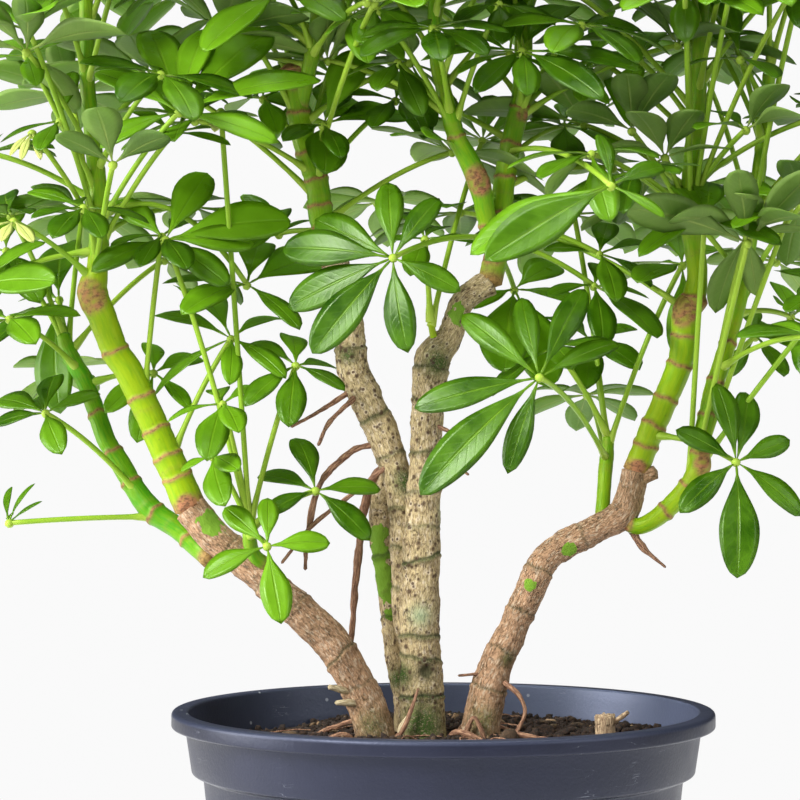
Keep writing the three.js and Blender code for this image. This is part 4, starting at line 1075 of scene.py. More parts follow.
def rounded(corners: Sequence[Pair], radii: Sequence[float], steps: int, longest: float) -> Array:
    """A profile with its corners rounded and its long stretches divided.

    A corner becomes the quadratic curve from the point its radius before it to the point its radius past
    it, with the corner as its handle.

    Args:
        corners: the profile's corners.
        radii: how far each corner's rounding reaches; 0 keeps the corner.
        steps: points in a rounding.
        longest: the longest stretch that stays undivided.

    Returns:
        The profile's points, in the shape (n, 2).
    """
    given = np.array(corners, dtype=float)
    points: list[Array] = []
    for index, radius in enumerate(radii):
        if radius == 0 or index in (0, len(given) - 1):
            points.append(given[index][None])
            continue
        here = given[index]
        into = here + radius * unit(given[index - 1] - here)
        out = here + radius * unit(given[index + 1] - here)
        share = np.linspace(0, 1, steps)[:, None]
        points.append((1 - share) ** 2 * into + 2 * share * (1 - share) * here + share**2 * out)
    line = np.concatenate(points)
    gaps = np.linalg.norm(np.diff(line, axis=0), axis=1)
    parts = np.maximum(np.ceil(gaps / longest).astype(int), 1)
    place = np.concatenate([np.arange(n) / n + k for k, n in enumerate(parts)] + [[len(line) - 1.0]])
    index = np.minimum(place.astype(int), len(line) - 2)
    return line[index] + (place - index)[:, None] * (line[index + 1] - line[index])


def lathe(profile: Array, sides: int) -> tuple[Array, Array, Array]:
    """A closed shape turned round the Z axis from a profile whose two ends lie on the axis.

    Args:
        profile: points of (radius, height), outward along the bottom, up, and inward again.
        sides: points round the axis.

    Returns:
        Points in the shape (rows, sides, 3) without the two ends, and the two ends.
    """
    angle = np.arange(sides) * FULL_TURN / sides
    rows = profile[1:-1]
    circle = np.stack([np.cos(angle), np.sin(angle)], axis=-1)
    flat = rows[:, 0, None, None] * circle
    height = np.broadcast_to(rows[:, 1, None, None], (*flat.shape[:2], 1))
    ends = profile[[0, -1], 1]
    return np.concatenate([flat, height], axis=-1), np.array([0, 0, ends[0]]), np.array([0, 0, ends[1]])


@dataclass(frozen=True)
class NurseryPot:
    """A round moulded pot: a tapered body, a step out to a collar, a turned-out rim and drain holes."""

    height: float = 188
    rim_radius: float = 120
    rim_depth: float = 7
    collar_top: float = 114
    collar_bottom: float = 111
    collar_height: float = 27
    step: float = 1.5
    body_top: float = 106
    body_bottom: float = 89
    wall: float = 1.6
    floor: float = 3
    lip: float = 1.6
    sides: int = 192
    holes: int = 6
    hole_ring: float = 54
    hole_radius: float = 5
    hole_sides: int = 24
    sharp: float = math.radians(50)

    def inner_radius(self, height: float) -> float:
        """The wall's inner radius at a height, on the collar or on the body."""
        low = self.height - self.collar_height
        if height >= low:
            share = (height - low - self.wall) / (self.collar_height - self.wall - self.lip)
            return between((self.collar_bottom, self.collar_top), min(max(share, 0), 1)) - self.wall
        return between((self.body_bottom, self.body_top), height / (low - self.step)) - self.wall

    def profile(self) -> Array:
        """The pot's profile from the middle of its underside to the middle of its inner floor."""
        low = self.height - self.collar_height
        under = self.height - self.rim_depth
        foot, inside = self.body_bottom, self.wall
        corners = [
            (0, 0), (foot - 16, 0), (foot - 15, 1.2), (foot - 6, 1.2), (foot - 5, 0), (foot, 0),
            (self.body_top, low - self.step), (self.collar_bottom, low), (self.collar_top, under),
            (self.rim_radius, under), (self.rim_radius, self.height), (self.collar_top - inside, self.height),
            (self.collar_bottom - inside, low + inside), (self.body_top - inside, low - self.step + inside),
            (foot - inside, self.floor), (0, self.floor),
        ]
        radii = [0, 0.4, 0.4, 0.4, 0.4, 1.6, 0.9, 0.9, 1.1, 1.1, 2.2, 1.4, 0.8, 0.8, 1.5, 0]
        return rounded(corners, radii, 6, 5.0)

    def painted_reflection(self, rings: Array) -> Array:
        """How much painted reflection each point gets: the inner wall most at its back right, where the
        lamps' glare is painted, and the top of the rim a little as a painted highlight.
        """
        level = rings[:, :1, 2]
        past = np.arange(len(rings))[:, None] > np.argmax(level > self.height - 1) + 5
        side = bell(np.arctan2(rings[..., 1], rings[..., 0]) - 0.85, 0.75)
        rim = np.where(level > self.height - 2, 0.22, 0.0)
        return np.where(past, 0.3 + 0.85 * side, rim).ravel()

    def build(self, finishes: Finishes) -> None:
        """Turns the pot, a little out of round by noise of 60 mm lumps, and cuts its drain holes."""
        rings, first, last = lathe(self.profile(), self.sides)
        warp = 0.22 * noise(rings, 60, 3)
        rings = rings + warp[..., None] * unit(rings * [1, 1, 0])
        points = np.concatenate([rings.reshape(-1, 3), first[None], last[None]])
        skin = Skin("nursery_pot")
        # The pot's painted reflection and painted highlight go onto it as the painted value inside.
        painted_reflection = np.append(self.painted_reflection(rings), (0, 0.3))
        skin.add(points, tube_faces(1, len(rings), self.sides), (0, 0), inside=painted_reflection)
        self.drill(skin.finish([finishes.pot], "pot_plastic", "pot"))

    def drill(self, pot: Piece) -> None:
        """Cuts the drain holes through the pot's floor with one applied Boolean of short tubes."""
        angle = np.arange(self.holes) * FULL_TURN / self.holes + 0.3
        spots = self.hole_ring * np.stack([np.cos(angle), np.sin(angle)], axis=-1)
        centres = np.stack([np.insert(spots, 2, z, axis=1) for z in (-4.0, 1.0, self.floor + 4)], axis=1)
        radii = np.full(centres.shape[:2], self.hole_radius)
        points = tube_points(centres, radii, self.hole_sides, 0)
        cutter = bpy.data.meshes.new("drain_cutter")
        quads, fans = tube_faces(self.holes, centres.shape[1], self.hole_sides)
        cutter.from_pydata(points.reshape(-1, 3) * MM, [], [*quads.tolist(), *fans.tolist()])
        tool = bpy.data.objects.new("drain_cutter", cutter)
        bpy.context.scene.collection.objects.link(tool)
        cut = pot.modifiers.new("drain", "BOOLEAN")
        cut.operation = "DIFFERENCE"
        cut.solver = "EXACT"
        cut.object = tool
        depsgraph = bpy.context.evaluated_depsgraph_get()
        drilled = bpy.data.meshes.new_from_object(pot.evaluated_get(depsgraph))
        pot.modifiers.clear()
        pot.data = drilled
        drilled.set_sharp_from_angle(angle=self.sharp)
        bpy.data.objects.remove(tool)
        log.info("pot: %d drain holes cut", self.holes)


def crumb_shape() -> tuple[Array, Array]:
    """The 12 corners and 20 faces of a regular solid of triangles, 1 mm in radius.

    The corners are the cyclic orders of (0, +-1, +-golden ratio), and a face is any three corners that
    are all one edge apart.
    """
    ratio = (1 + 5**0.5) / 2
    corners = np.array([np.roll((0, a, b * ratio), k) for k in range(3) for a in (-1, 1) for b in (-1, 1)])
    corners = unit(corners)
    apart = np.linalg.norm(corners[:, None] - corners[None], axis=-1)
    near = (apart < 1.1) & (apart > 0.1)
    faces = [
        trio for trio in itertools.combinations(range(12), 3)
        if near[trio[0], trio[1]] and near[trio[1], trio[2]] and near[trio[0], trio[2]]
    ]
    found = np.array(faces)
    first, second, third = (corners[found[:, k]] for k in range(3))
    inward = np.sum(np.cross(second - first, third - first) * first, axis=1) < 0
    found[inward] = found[inward][:, ::-1]
    return corners, found


def scatter_crumbs(places: Array, sizes: Array, seed: int) -> tuple[Array, Array]:
    """Crumbs and chips: turned, stretched and dented copies of the crumb shape.

    Args:
        places: their centres, in the shape (n, 3).
        sizes: their half sizes along their own three axes, in the shape (n, 3).
        seed: the seed of the turns and dents.

    Returns:
        The points of all crumbs and their triangles.
    """
    rng = np.random.default_rng(seed)
    corners, faces = crumb_shape()
    turns, _ = np.linalg.qr(rng.normal(size=(len(places), 3, 3)))
    turns[:, :, 0] *= np.sign(np.linalg.det(turns))[:, None]
    flat = rng.random((len(places), 1)) < 0.6
    angle = rng.random(len(places)) * FULL_TURN
    lying = np.zeros_like(turns)
    lying[:, 0, 0], lying[:, 0, 1] = np.cos(angle), -np.sin(angle)
    lying[:, 1, 0], lying[:, 1, 1] = np.sin(angle), np.cos(angle)
    lying[:, 2, 2] = 1
    thin = sizes[:, 2:] < 0.45 * sizes[:, :1]
    turns = np.where((thin & flat)[..., None], lying, turns)
    dents = 1 + 0.25 * rng.normal(size=(len(places), len(corners), 1)).clip(-1.5, 1.5)
    local = corners[None] * dents * sizes[:, None]
    points = np.einsum("nij,nkj->nki", turns, local) + places[:, None]
    starts = np.arange(len(places))[:, None, None] * len(corners)
    return points.reshape(-1, 3), (faces[None] + starts).reshape(-1, 3)


@dataclass(frozen=True)
class SoilBed:
    """The potting soil: an uneven surface with crumbs, bark chips, pale grit and loose root fibres."""

    pot: NurseryPot
    level: float = 177
    gap: float = 0.3
    rings: int = 92
    sides: int = 220
    crumbs: int = 2400
    chips: int = 260
    grit: int = 60
    seed: int = 11
    fibre_count: int = 26
    fibre_stations: int = 14
    fibre_sides: int = 6

    def lift(self, places: Array) -> Array:
        """How far the surface stands above its level, in lumps of 26, 7 and 2.4 mm and lower at the left."""
        flat = places * [1, 1, 0]
        reach = np.linalg.norm(flat, axis=-1)
        lumps = 1.3 * noise(flat, 26, 1) + 1.1 * noise(flat, 7, 2) + 0.7 * noise(flat, 2.4, 4)
        dip = 1.8 * smooth(reach, 60, 108) + 4 * smooth(-flat[..., 0], 30, 80)
        return lumps * (1 - 0.5 * smooth(reach, 95, 110)) - 1.6 - dip

    def bed(self, skin: Skin) -> None:
        """Adds the soil's body: its uneven top, and its side and underside against the pot."""
        edge = self.pot.inner_radius(self.level) - self.gap
        low = self.pot.height - self.pot.collar_height
        heights = (self.pot.floor + self.gap, 60, 120, low - 4, low + 2, 170)
        side = [(self.pot.inner_radius(z) - self.gap, z) for z in heights]
        top = [(radius, self.level) for radius in np.linspace(edge, 0, self.rings)]
        profile = np.array([(0, self.pot.floor + self.gap), *side, *top])
        rings, first, last = lathe(profile, self.sides)
        is_top = rings[..., 2] >= self.level - 1e-6
        rings[..., 2] += np.where(is_top, self.lift(rings), 0)
        points = np.concatenate([rings.reshape(-1, 3), first[None], last[None]])
        points[-1, 2] += self.lift(points[-1:])[0]
        skin.add(points, tube_faces(1, len(rings), self.sides), (0, 0), tint=np.zeros(len(points)))

    def loose(self, skin: Skin, count: int, size: Pair, thin: float, tint: Pair, number: int) -> None:
        """Scatters one kind of loose bit on the surface.

        Args:
            skin: the piece that gets them.
            count: how many.
            size: their half length, from the smallest to the largest.
            thin: their thickness for their length.
            tint: how pale they are, from 0 to 1.
            number: the number of this kind, for its draws.
        """
        rng = np.random.default_rng(self.seed + number)
        edge = self.pot.inner_radius(self.level) - 3
        reach = edge * np.sqrt(rng.random(count))
        angle = rng.random(count) * FULL_TURN
        places = np.stack([reach * np.cos(angle), reach * np.sin(angle), np.full(count, self.level)], axis=-1)
        length = size[0] + (size[1] - size[0]) * rng.random(count) ** 2.2
        shape = [np.ones(count), 0.5 + 0.35 * rng.random(count), np.full(count, thin)]
        sizes = length[:, None] * np.stack(shape, axis=-1)
        places[:, 2] += self.lift(places) + 0.35 * sizes[:, 2]
        points, faces = scatter_crumbs(places, sizes, self.seed + 7 * number)
        tints = tint[0] + (tint[1] - tint[0]) * rng.random(count)
        skin.add(points, (faces,), (0,), tint=np.repeat(tints, len(points) // count))

    def fibres(self, finishes: Finishes) -> None:
        """Thin reddish root fibres that lie in loose arcs on the soil.

        Each is a tube along an arc that starts at a seeded place, turns evenly and stays near the surface.
        """
        rng = np.random.default_rng(self.seed + 90)
        count, stations = self.fibre_count, self.fibre_stations
        near = rng.random(count) < 0.5
        spread = np.where(near, 16, 70)
        start = np.stack([rng.normal(size=count) * spread, rng.normal(size=count) * spread * 0.7], axis=-1)
        start += np.where(near, 1, 0)[:, None] * [6, -34]
        start *= np.minimum(1, 92 / np.maximum(np.linalg.norm(start, axis=1), 1))[:, None]
        heading = rng.random(count) * FULL_TURN
        bend = rng.normal(size=count) * 1.3
        length = 10 + 22 * rng.random(count)
        share = np.linspace(0, 1, stations)
        turn = heading[:, None] + bend[:, None] * share
        step = (length / stations)[:, None]
        east = start[:, :1] + np.cumsum(step * np.cos(turn), axis=1)
        north = start[:, 1:] + np.cumsum(step * np.sin(turn), axis=1)
        centres = np.stack([east, north, np.full_like(east, self.level)], axis=-1)
        arch = 2.2 * np.sin(np.pi * share) * rng.random((count, 1))
        centres[..., 2] += self.lift(centres) * 0.6 + 0.9 + arch
        radii = np.broadcast_to(0.42 - 0.2 * share, centres.shape[:2])
        points = tube_points(centres, radii, self.fibre_sides)
        grain = points * [0.3, 0.3, 1.0]
        skin = Skin("soil_root_fibres")
        faces = tube_faces(count, stations, self.fibre_sides)
        skin.add(points.reshape(-1, 3), faces, (0, 0), grain=grain.reshape(-1, 3))
        skin.finish([finishes.root], "potting_soil")

    def build(self, finishes: Finishes) -> None:
        """Makes the soil with its loose bits, and the fibres on it."""
        skin = Skin("soil_bed")
        self.bed(skin)
        self.loose(skin, self.crumbs, size=(0.7, 2.6), thin=0.75, tint=(0, 0.35), number=1)
        self.loose(skin, self.chips, size=(2.0, 6.5), thin=0.25, tint=(0.1, 0.8), number=2)
        self.loose(skin, self.grit, size=(0.6, 1.6), thin=0.8, tint=(0.7, 1.0), number=3)
        skin.finish([finishes.earth], "potting_soil", "soil")
        self.fibres(finishes)


# ---------------------------------------------------------------- limbs, trunks and roots


@dataclass(frozen=True)
class Ring:
    """A ring scar round a limb: its height, how strong it is and how far it tilts across the limb."""

    limb: int
    height: float
    strength: float = 1.0
    tilt: float = 0.0


class Mark(Enum):
    """What a patch on a limb is."""

    MOSS = "moss"
    LICHEN = "lichen"
    GREEN = "green"
    BROWN = "brown"
    HOLLOW = "hollow"
    KNOB = "knob"


@dataclass(frozen=True)
class Patch:
    """A patch on a limb: its kind, its height, the angle it faces (-90 is the front) and its reach."""

    mark: Mark
    limb: int
    height: float
    angle: float
    reach: float
    strength: float = 1.0


def marked(mark: Mark, *rows: tuple[float, ...]) -> list[Patch]:
    """Patches of one kind, from rows of limb, height, angle, reach and, where it isn't 1, strength."""
    return [Patch(mark, *row) for row in rows]


@dataclass(frozen=True)
class LimbGrid:
    """A limb as a grid of rows along it and angles round it, before its surface is shaped."""

    centres: Array
    along: Array
    radii: Array
    angle: Array

    @classmethod
    def of(cls, points: tuple[RoutePoint, ...], sides: int, step: float) -> "LimbGrid":
        """The grid of a limb with rows about `step` mm apart."""
        route = Route(points)
        shares, along = route.evenly(step)
        return cls(route.at(shares), along, route.radius(shares), np.arange(sides) * FULL_TURN / sides)

    def surface(self) -> Array:
        """The plain round surface, in the shape (rows, sides, 3)."""
        points = tube_points(self.centres[None], self.radii[None], len(self.angle))
        return points[0, :-2].reshape(len(self.along), len(self.angle), 3)

    def grain(self, shift: float) -> Array:
        """The place on the limb as (radius cos, radius sin, distance along), which has no seam."""
        radius = np.full(len(self.along), self.radii.mean())[:, None]
        along = self.along[:, None] + 0 * self.angle
        parts = (radius * np.cos(self.angle), radius * np.sin(self.angle), along)
        return np.stack(parts, axis=-1) + [shift, 0, 0]

    def level(self, height: float) -> float:
        """How far along the limb its middle line passes a height."""
        return float(self.along[np.argmin(np.abs(self.centres[:, 2] - height))])

    def past_ring(self, ring: Ring) -> Array:
        """How far each point lies past a ring, with the ring's tilt and a slight wander."""
        wander = 0.35 * np.sin(2 * self.angle + ring.height) + 0.3 * np.sin(5 * self.angle + 2 * ring.height)
        tilt = ring.tilt * self.radii[:, None] * np.cos(self.angle)
        return self.along[:, None] - self.level(ring.height) - tilt - wander

    def patch(self, patch: Patch) -> Array:
        """A soft mask round a patch: a bell of the distance along and round the limb."""
        off = self.along[:, None] - self.level(patch.height)
        turn = self.angle - math.radians(patch.angle)
        turn = np.arctan2(np.sin(turn), np.cos(turn))
        aside = self.radii[:, None] * turn
        return patch.strength * bell(np.hypot(off, aside), patch.reach)

    def masks(self, patches: Sequence[Patch], mark: Mark) -> Array:
        """All patches of one kind together."""
        total = np.zeros((len(self.along), len(self.angle)))
        for patch in patches:
            if patch.mark is mark:
                total = np.maximum(total, self.patch(patch))
        return total

    def pores(self, spacing: float, seed: int) -> Array:
        """How near each point is to a pore: its distance over the pore's radius, for the nearest one.

        Args:
            spacing: the usual distance between pores.
            seed: the seed of their places and sizes.

        Returns:
            The distances, in the shape (rows, sides).
        """
        rng = np.random.default_rng(seed)
        round_it = FULL_TURN * self.radii.mean()
        count = int(self.along[-1] * round_it / spacing**2)
        along, turn = rng.random(count) * self.along[-1], rng.random(count) * FULL_TURN
        size = 0.75 + 0.6 * rng.random(count) ** 2
        off = (self.along[:, None] - along) / size
        angle = self.angle[:, None] - turn
        aside = np.arctan2(np.sin(angle), np.cos(angle)) * self.radii.mean() / size
        return np.sqrt(np.min(off[:, None] ** 2 + aside[None] ** 2, axis=-1))

    def skin(self, relief: Array, cap: float = 0.35) -> Array:
        """Points of the shaped surface: each ring's radius with its relief added, and the two poles."""
        return tube_points(self.centres[None], (self.radii[:, None] + relief)[None], len(self.angle), cap)[0]

    def add(self, skin: Skin, points: Array, slot: int, **paint: Array) -> None:
        """Adds the shaped surface to a piece, in one material and with values painted on its rings."""
        painted = {name: with_poles(values[None]) for name, values in paint.items()}
        skin.add(points, tube_faces(1, len(self.along), len(self.angle)), (slot, slot), **painted)


TRUNK_RINGS: dict[str, tuple[Ring, ...]] = {
    "trunk_left": (
        Ring(0, 211, 0.9, 0.2), Ring(0, 197, 0.5), Ring(0, 232, 0.6), Ring(0, 244, 0.7), Ring(0, 258, 0.6),
    ),
    "trunk_centre": (
        Ring(0, 253.4, 0.9, 0.3), Ring(0, 219.7, 0.8), Ring(0, 210, 0.7, -0.2), Ring(0, 193, 1.1),
        Ring(0, 268, 0.4), Ring(0, 283, 0.5, 0.2), Ring(0, 300, 0.6), Ring(0, 322, 0.6, -0.2),
        Ring(0, 338, 0.7), Ring(1, 240, 0.5), Ring(1, 258, 0.6), Ring(1, 276, 0.5), Ring(1, 299, 0.5),
        Ring(1, 316, 0.7), Ring(1, 347, 0.6), Ring(1, 366, 0.5), Ring(2, 226, 0.7), Ring(2, 254, 0.6),
    ),
    "trunk_right": (
        Ring(0, 196, 0.7), Ring(0, 213, 0.5), Ring(0, 231, 0.6), Ring(0, 249, 0.7), Ring(0, 264, 0.5),
    ),
}

# How mossy each trunk's ring scars are and how pink its bark is, from 0 to 1.
TRUNK_LOOKS = {"trunk_left": (0.25, 1.0), "trunk_centre": (1.0, 0.1), "trunk_right": (0.2, 1.0)}

TRUNK_PATCHES: dict[str, list[Patch]] = {
    "trunk_left": marked(Mark.MOSS, (0, 182, -90, 7, 0.7))
    + marked(Mark.GREEN, (0, 268, -60, 9, 0.8))
    + marked(Mark.BROWN, (0, 225, -120, 7, 0.5)),
    "trunk_centre": marked(Mark.HOLLOW, (0, 205.5, -75, 2.6))
    + marked(Mark.BROWN, (0, 205.5, -75, 5.5, 2.0), (0, 312, -70, 8, 0.6), (1, 330, -90, 8, 0.6))
    + marked(
        Mark.MOSS,
        (0, 204, -150, 5.5, 1.2), (2, 200, -100, 5, 1.1), (0, 182, -90, 11, 1.2), (0, 181, 20, 8, 0.8),
        (0, 181, 140, 8, 0.8), (0, 342, -70, 6.5, 1.1), (1, 288, -60, 6, 1.1), (1, 345, -100, 4, 1.0),
        (0, 230, 70, 9, 0.8),
    )
    + marked(Mark.LICHEN, (0, 230, -90, 5), (0, 275, 10, 5, 0.7))
    + marked(
        Mark.GREEN,
        (2, 264, -110, 6), (2, 256, -105, 7), (2, 247, -95, 7), (2, 239, -90, 6), (2, 228, -80, 3.5),
        (0, 362, -90, 7, 0.7), (1, 378, -90, 7, 0.6),
    ),
    "trunk_right": marked(Mark.GREEN, (0, 242.7, -100, 3.4), (0, 260.5, -70, 4), (0, 250, 80, 6, 0.8))
    + marked(Mark.MOSS, (0, 212, -60, 3.5, 0.8), (0, 183, -90, 7, 0.7))
    + marked(Mark.BROWN, (0, 284, -90, 8, 0.6)),
}


@dataclass(frozen=True)
class Trunk:
    """A woody trunk with its aerial roots: bark with cracks, ring scars, pores, moss and green patches."""

    plan: TrunkPlan
    number: int
    damp: float
    pinkness: float
    sides: int = 88
    step: float = 0.65
    root_sides: int = 10
    root_step: float = 1.6
    root_share: float = 0.8
    crack_depth: float = 0.14
    hollow_depth: float = 1.6
    moss_height: float = 0.3
    pore_height: float = 0.5
    pore_depth: float = 0.35

    def limb(self, skin: Skin, index: int) -> None:
        """Adds one limb in bark.

        Its radius gets lumps of 9 and 3.5 mm, shallow cracks where stretched noise crosses zero, a small
        crater at each pore, and at each ring scar a ridge with a groove on its upper side.

        Args:
            skin: the piece that gets it.
            index: which limb of the trunk.
        """
        grid = LimbGrid.of(self.plan.wood[index], self.sides, self.step)
        surface = grid.surface()
        shift = 60.0 * index + 20.0 * self.number
        grain = grid.grain(shift)
        seed = 10 * self.number + index
        rings = [ring for ring in TRUNK_RINGS[self.plan.node] if ring.limb == index]
        patches = [patch for patch in TRUNK_PATCHES[self.plan.node] if patch.limb == index]
        lumps = 0.5 * noise(surface, 9, seed) + 0.28 * noise(surface, 3.5, seed + 1)
        cracks = 1 - smooth(np.abs(noise(grain * [1, 1, 0.16], 2.6, seed + 2)), 0.0, 0.1)
        near = grid.pores(5.2 + 3.4 * self.pinkness, seed + 3)
        ridge = np.zeros(lumps.shape)
        ringed = np.zeros(lumps.shape)
        fringe = np.zeros(lumps.shape)
        for ring in rings:
            past = grid.past_ring(ring)
            ridge += ring.strength * (0.55 * bell(past, 0.9) - 0.4 * bell(past - 1.5, 0.5))
            ringed = np.maximum(ringed, ring.strength * bell(past - 1.5, 0.6))
            fringe = np.maximum(fringe, self.damp * ring.strength * bell(past - 1.0, 1.3))
        hollow = grid.masks(patches, Mark.HOLLOW)
        moss = np.maximum(grid.masks(patches, Mark.MOSS), 0.8 * fringe)
        ragged = 0.22 * noise(surface, 2.5, seed + 5) + 0.15 * noise(surface, 1.1, seed)
        green = smooth(grid.masks(patches, Mark.GREEN) + ragged, 0.42, 0.6)
        brown = grid.masks(patches, Mark.BROWN)
        relief = lumps - self.crack_depth * cracks * (1 - green) + ridge
        relief = relief - self.hollow_depth * hollow + self.moss_height * moss
        pores = self.pore_height * bell(near, 1.05) - self.pore_depth * bell(near, 0.45)
        relief += pores + 0.14 * noise(surface, 1.3, seed + 4)
        marks = np.stack([np.clip(ringed + hollow + 0.35 * brown, 0, 1), moss, green], axis=-1)
        pink = np.full(lumps.shape, self.pinkness)
        frost = np.clip(grid.masks(patches, Mark.LICHEN), 0, 1)
        spots = np.stack([(1 - smooth(near, 0.55, 0.95)) * (1 - 0.7 * green), frost, pink], axis=-1)
        grid.add(skin, grid.skin(relief), 0, grain=grain, marks=marks, spots=spots)

    def root(self, skin: Skin, index: int) -> None:
        """Adds one aerial root: a thin tube whose radius swells and shrinks with noise of 4 mm."""
        grid = LimbGrid.of(self.plan.roots[index], self.root_sides, self.root_step)
        surface = grid.surface()
        swell = 0.25 * noise(surface, 4, index) + 0.14 * noise(surface, 1.6, index + 5)
        relief = grid.radii[:, None] * (self.root_share - 1 + swell)
        grid.add(skin, grid.skin(relief, 1.0), 1, grain=grid.grain(300 + 25 * index))

    def build(self, finishes: Finishes) -> None:
        """Makes the trunk as one piece."""
        skin = Skin(f"{self.plan.node}_bark")
        for index in range(len(self.plan.wood)):
            self.limb(skin, index)
        for index in range(len(self.plan.roots)):
            self.root(skin, index)
        skin.finish([finishes.bark, finishes.root], "bark", self.plan.node)


@dataclass(frozen=True)
class RootCollar:
    """Thin woody roots and pale nubs round the trunks' feet, on the soil."""

    roots: tuple[tuple[RoutePoint, ...], ...] = (
        ((27, -3, 200, 1.2), (33, -6, 195, 1.1), (36, -7, 187, 1.0), (31, -8, 176, 0.8)),
        ((9, -4, 172, 1.3), (11, -9, 181, 1.2), (14, -11, 185, 1.1), (19, -10, 174, 1.0)),
        ((1, -7, 173, 1.4), (5, -13, 179, 1.3), (12, -16, 178, 1.2), (21, -18, 174, 0.9)),
        ((-22, -10, 174, 1.3), (-17, -14, 182, 1.2), (-13, -13, 192, 0.9), (-11, -11, 198, 0.5)),
        ((24, -8, 173, 1.5), (31, -14, 178, 1.3), (41, -17, 177, 1.1), (52, -17, 173, 0.8)),
        ((-38, -8, 173, 1.5), (-44, -13, 178, 1.2), (-54, -15, 175, 0.9)),
        ((6, 10, 174, 1.6), (12, 18, 180, 1.4), (24, 24, 178, 1.1), (36, 27, 173, 0.8)),
        ((-28, 16, 174, 1.5), (-36, 24, 180, 1.3), (-48, 28, 177, 1.1), (-60, 27, 172, 0.8)),
    )
    nubs: tuple[tuple[RoutePoint, ...], ...] = (
        ((-41, -8, 196, 1.5), (-46, -11, 198, 1.6), (-50, -13, 199, 1.2)),
        ((-38, -9, 191, 1.5), (-43, -12, 192, 1.7), (-47, -13, 192, 1.1)),
        ((-17, -10, 174, 1.2), (-19, -13, 180, 1.2), (-16, -14, 186, 0.5)),
    )
    sides: int = 10
    step: float = 1.0

    def build(self, finishes: Finishes) -> None:
        """Makes the roots and nubs as thin tubes whose radius wavers with noise of 4 mm."""
        skin = Skin("root_collar")
        for number, points in enumerate(self.roots + self.nubs):
            grid = LimbGrid.of(points, self.sides, self.step)
            relief = grid.radii[:, None] * 0.25 * noise(grid.surface(), 4, number)
            slot = int(number >= len(self.roots))
            grid.add(skin, grid.skin(relief, 0.7), slot, grain=grid.grain(500 + 20 * number))
        skin.finish([finishes.root, finishes.nub], "bark")


@dataclass(frozen=True)
class OldStub:
    """The short dry stump of an old stem, with a broken top and a side twig."""

    wood: tuple[RoutePoint, ...] = ((72, -8, 158, 4.4), (71.5, -9, 172, 4.5), (71, -10, 186.6, 4.5))
    twig: tuple[RoutePoint, ...] = ((72, -9, 181, 1.5), (76.5, -11, 184.5, 1.2), (81, -13, 188, 0.9))
    wood_sides: int = 40
    twig_sides: int = 12
    step: float = 0.8
    torn_above: float = 183

    def build(self, finishes: Finishes) -> None:
        """Makes the stump; its top row stands up and down by noise, as torn fibres do."""
        skin = Skin("dry_stub")
        parts = ((self.wood, self.wood_sides), (self.twig, self.twig_sides))
        for number, (points, sides) in enumerate(parts):
            grid = LimbGrid.of(points, sides, self.step)
            grain = grid.grain(400 + 30 * number)
            fibres = noise(grain * [1, 1, 0.12], 1.3, 8)
            relief = grid.radii[:, None] * 0.07 * fibres + 0.2 * noise(grid.surface(), 4, 5)
            shaped = grid.skin(relief, 0.1)
            torn = 1.1 * noise(shaped * [1, 1, 0], 1.2, 6) - 0.6
            shaped[:, 2] += np.where(shaped[:, 2] > self.torn_above, torn, 0) * (1 - number)
            grid.add(skin, shaped, 0, grain=grain)
        skin.finish([finishes.stub], "dry_wood", "old_stem_stub")


# ---------------------------------------------------------------- leaves


# How every leaflet leans back, rolls and curls, in radians, and how far a hub's top stands over its middle.
LEAN_BACK = -0.16
ROLL = 0.22
CURL = 0.5
CURL_RANGE = (0.7, 1.3)
HUB_TOP = 1.2
DROOPS = tuple(math.radians(angle) for angle in (0, 12, -12, 24, -24, 36, -36, 48))
TURNS = tuple(math.radians(angle) for angle in (0, 10, -10, 20, -20, 32, -32, 45))

# How far a leaf that is seen from the front may reach in depth, for one across.
DEEPEST = 1.6

# A spiral's turn from leaf to leaf in degrees, its leaflets in a full ring, and how its leaves lean out.
NEXT_LEAF = 137.5
LEAFLETS = 7
LEAN_OUT = (0.25, 0.55)

# Where a leaflet's own stalk ends, as a share of its length, and how near a solid's corner has to be.
BLADE_START = 0.1
CORNER_REACH = 0.05


class Detail(Enum):
    """How finely a leaflet is made: its rows, and the steps from edge to edge."""

    PLAIN = (10, 4)
    FINE = (18, 6)


@dataclass(frozen=True)
class Leaflet:
    """One leaflet: where it grows, its own three directions, and its sizes."""

    hub: Array
    side: Array
    up: Array
    ahead: Array
    length: float
    half: float
    curl: float
    tint: float
    youth: float = 0.0
    cup: float = 0.16

    def tip(self) -> Array:
        """The tip's place: an arc that bends down by `curl` radians over the leaflet's length."""
        out = math.sin(self.curl) / self.curl
        down = (1 - math.cos(self.curl)) / self.curl
        return self.hub + self.length * (out * self.ahead - down * self.up)


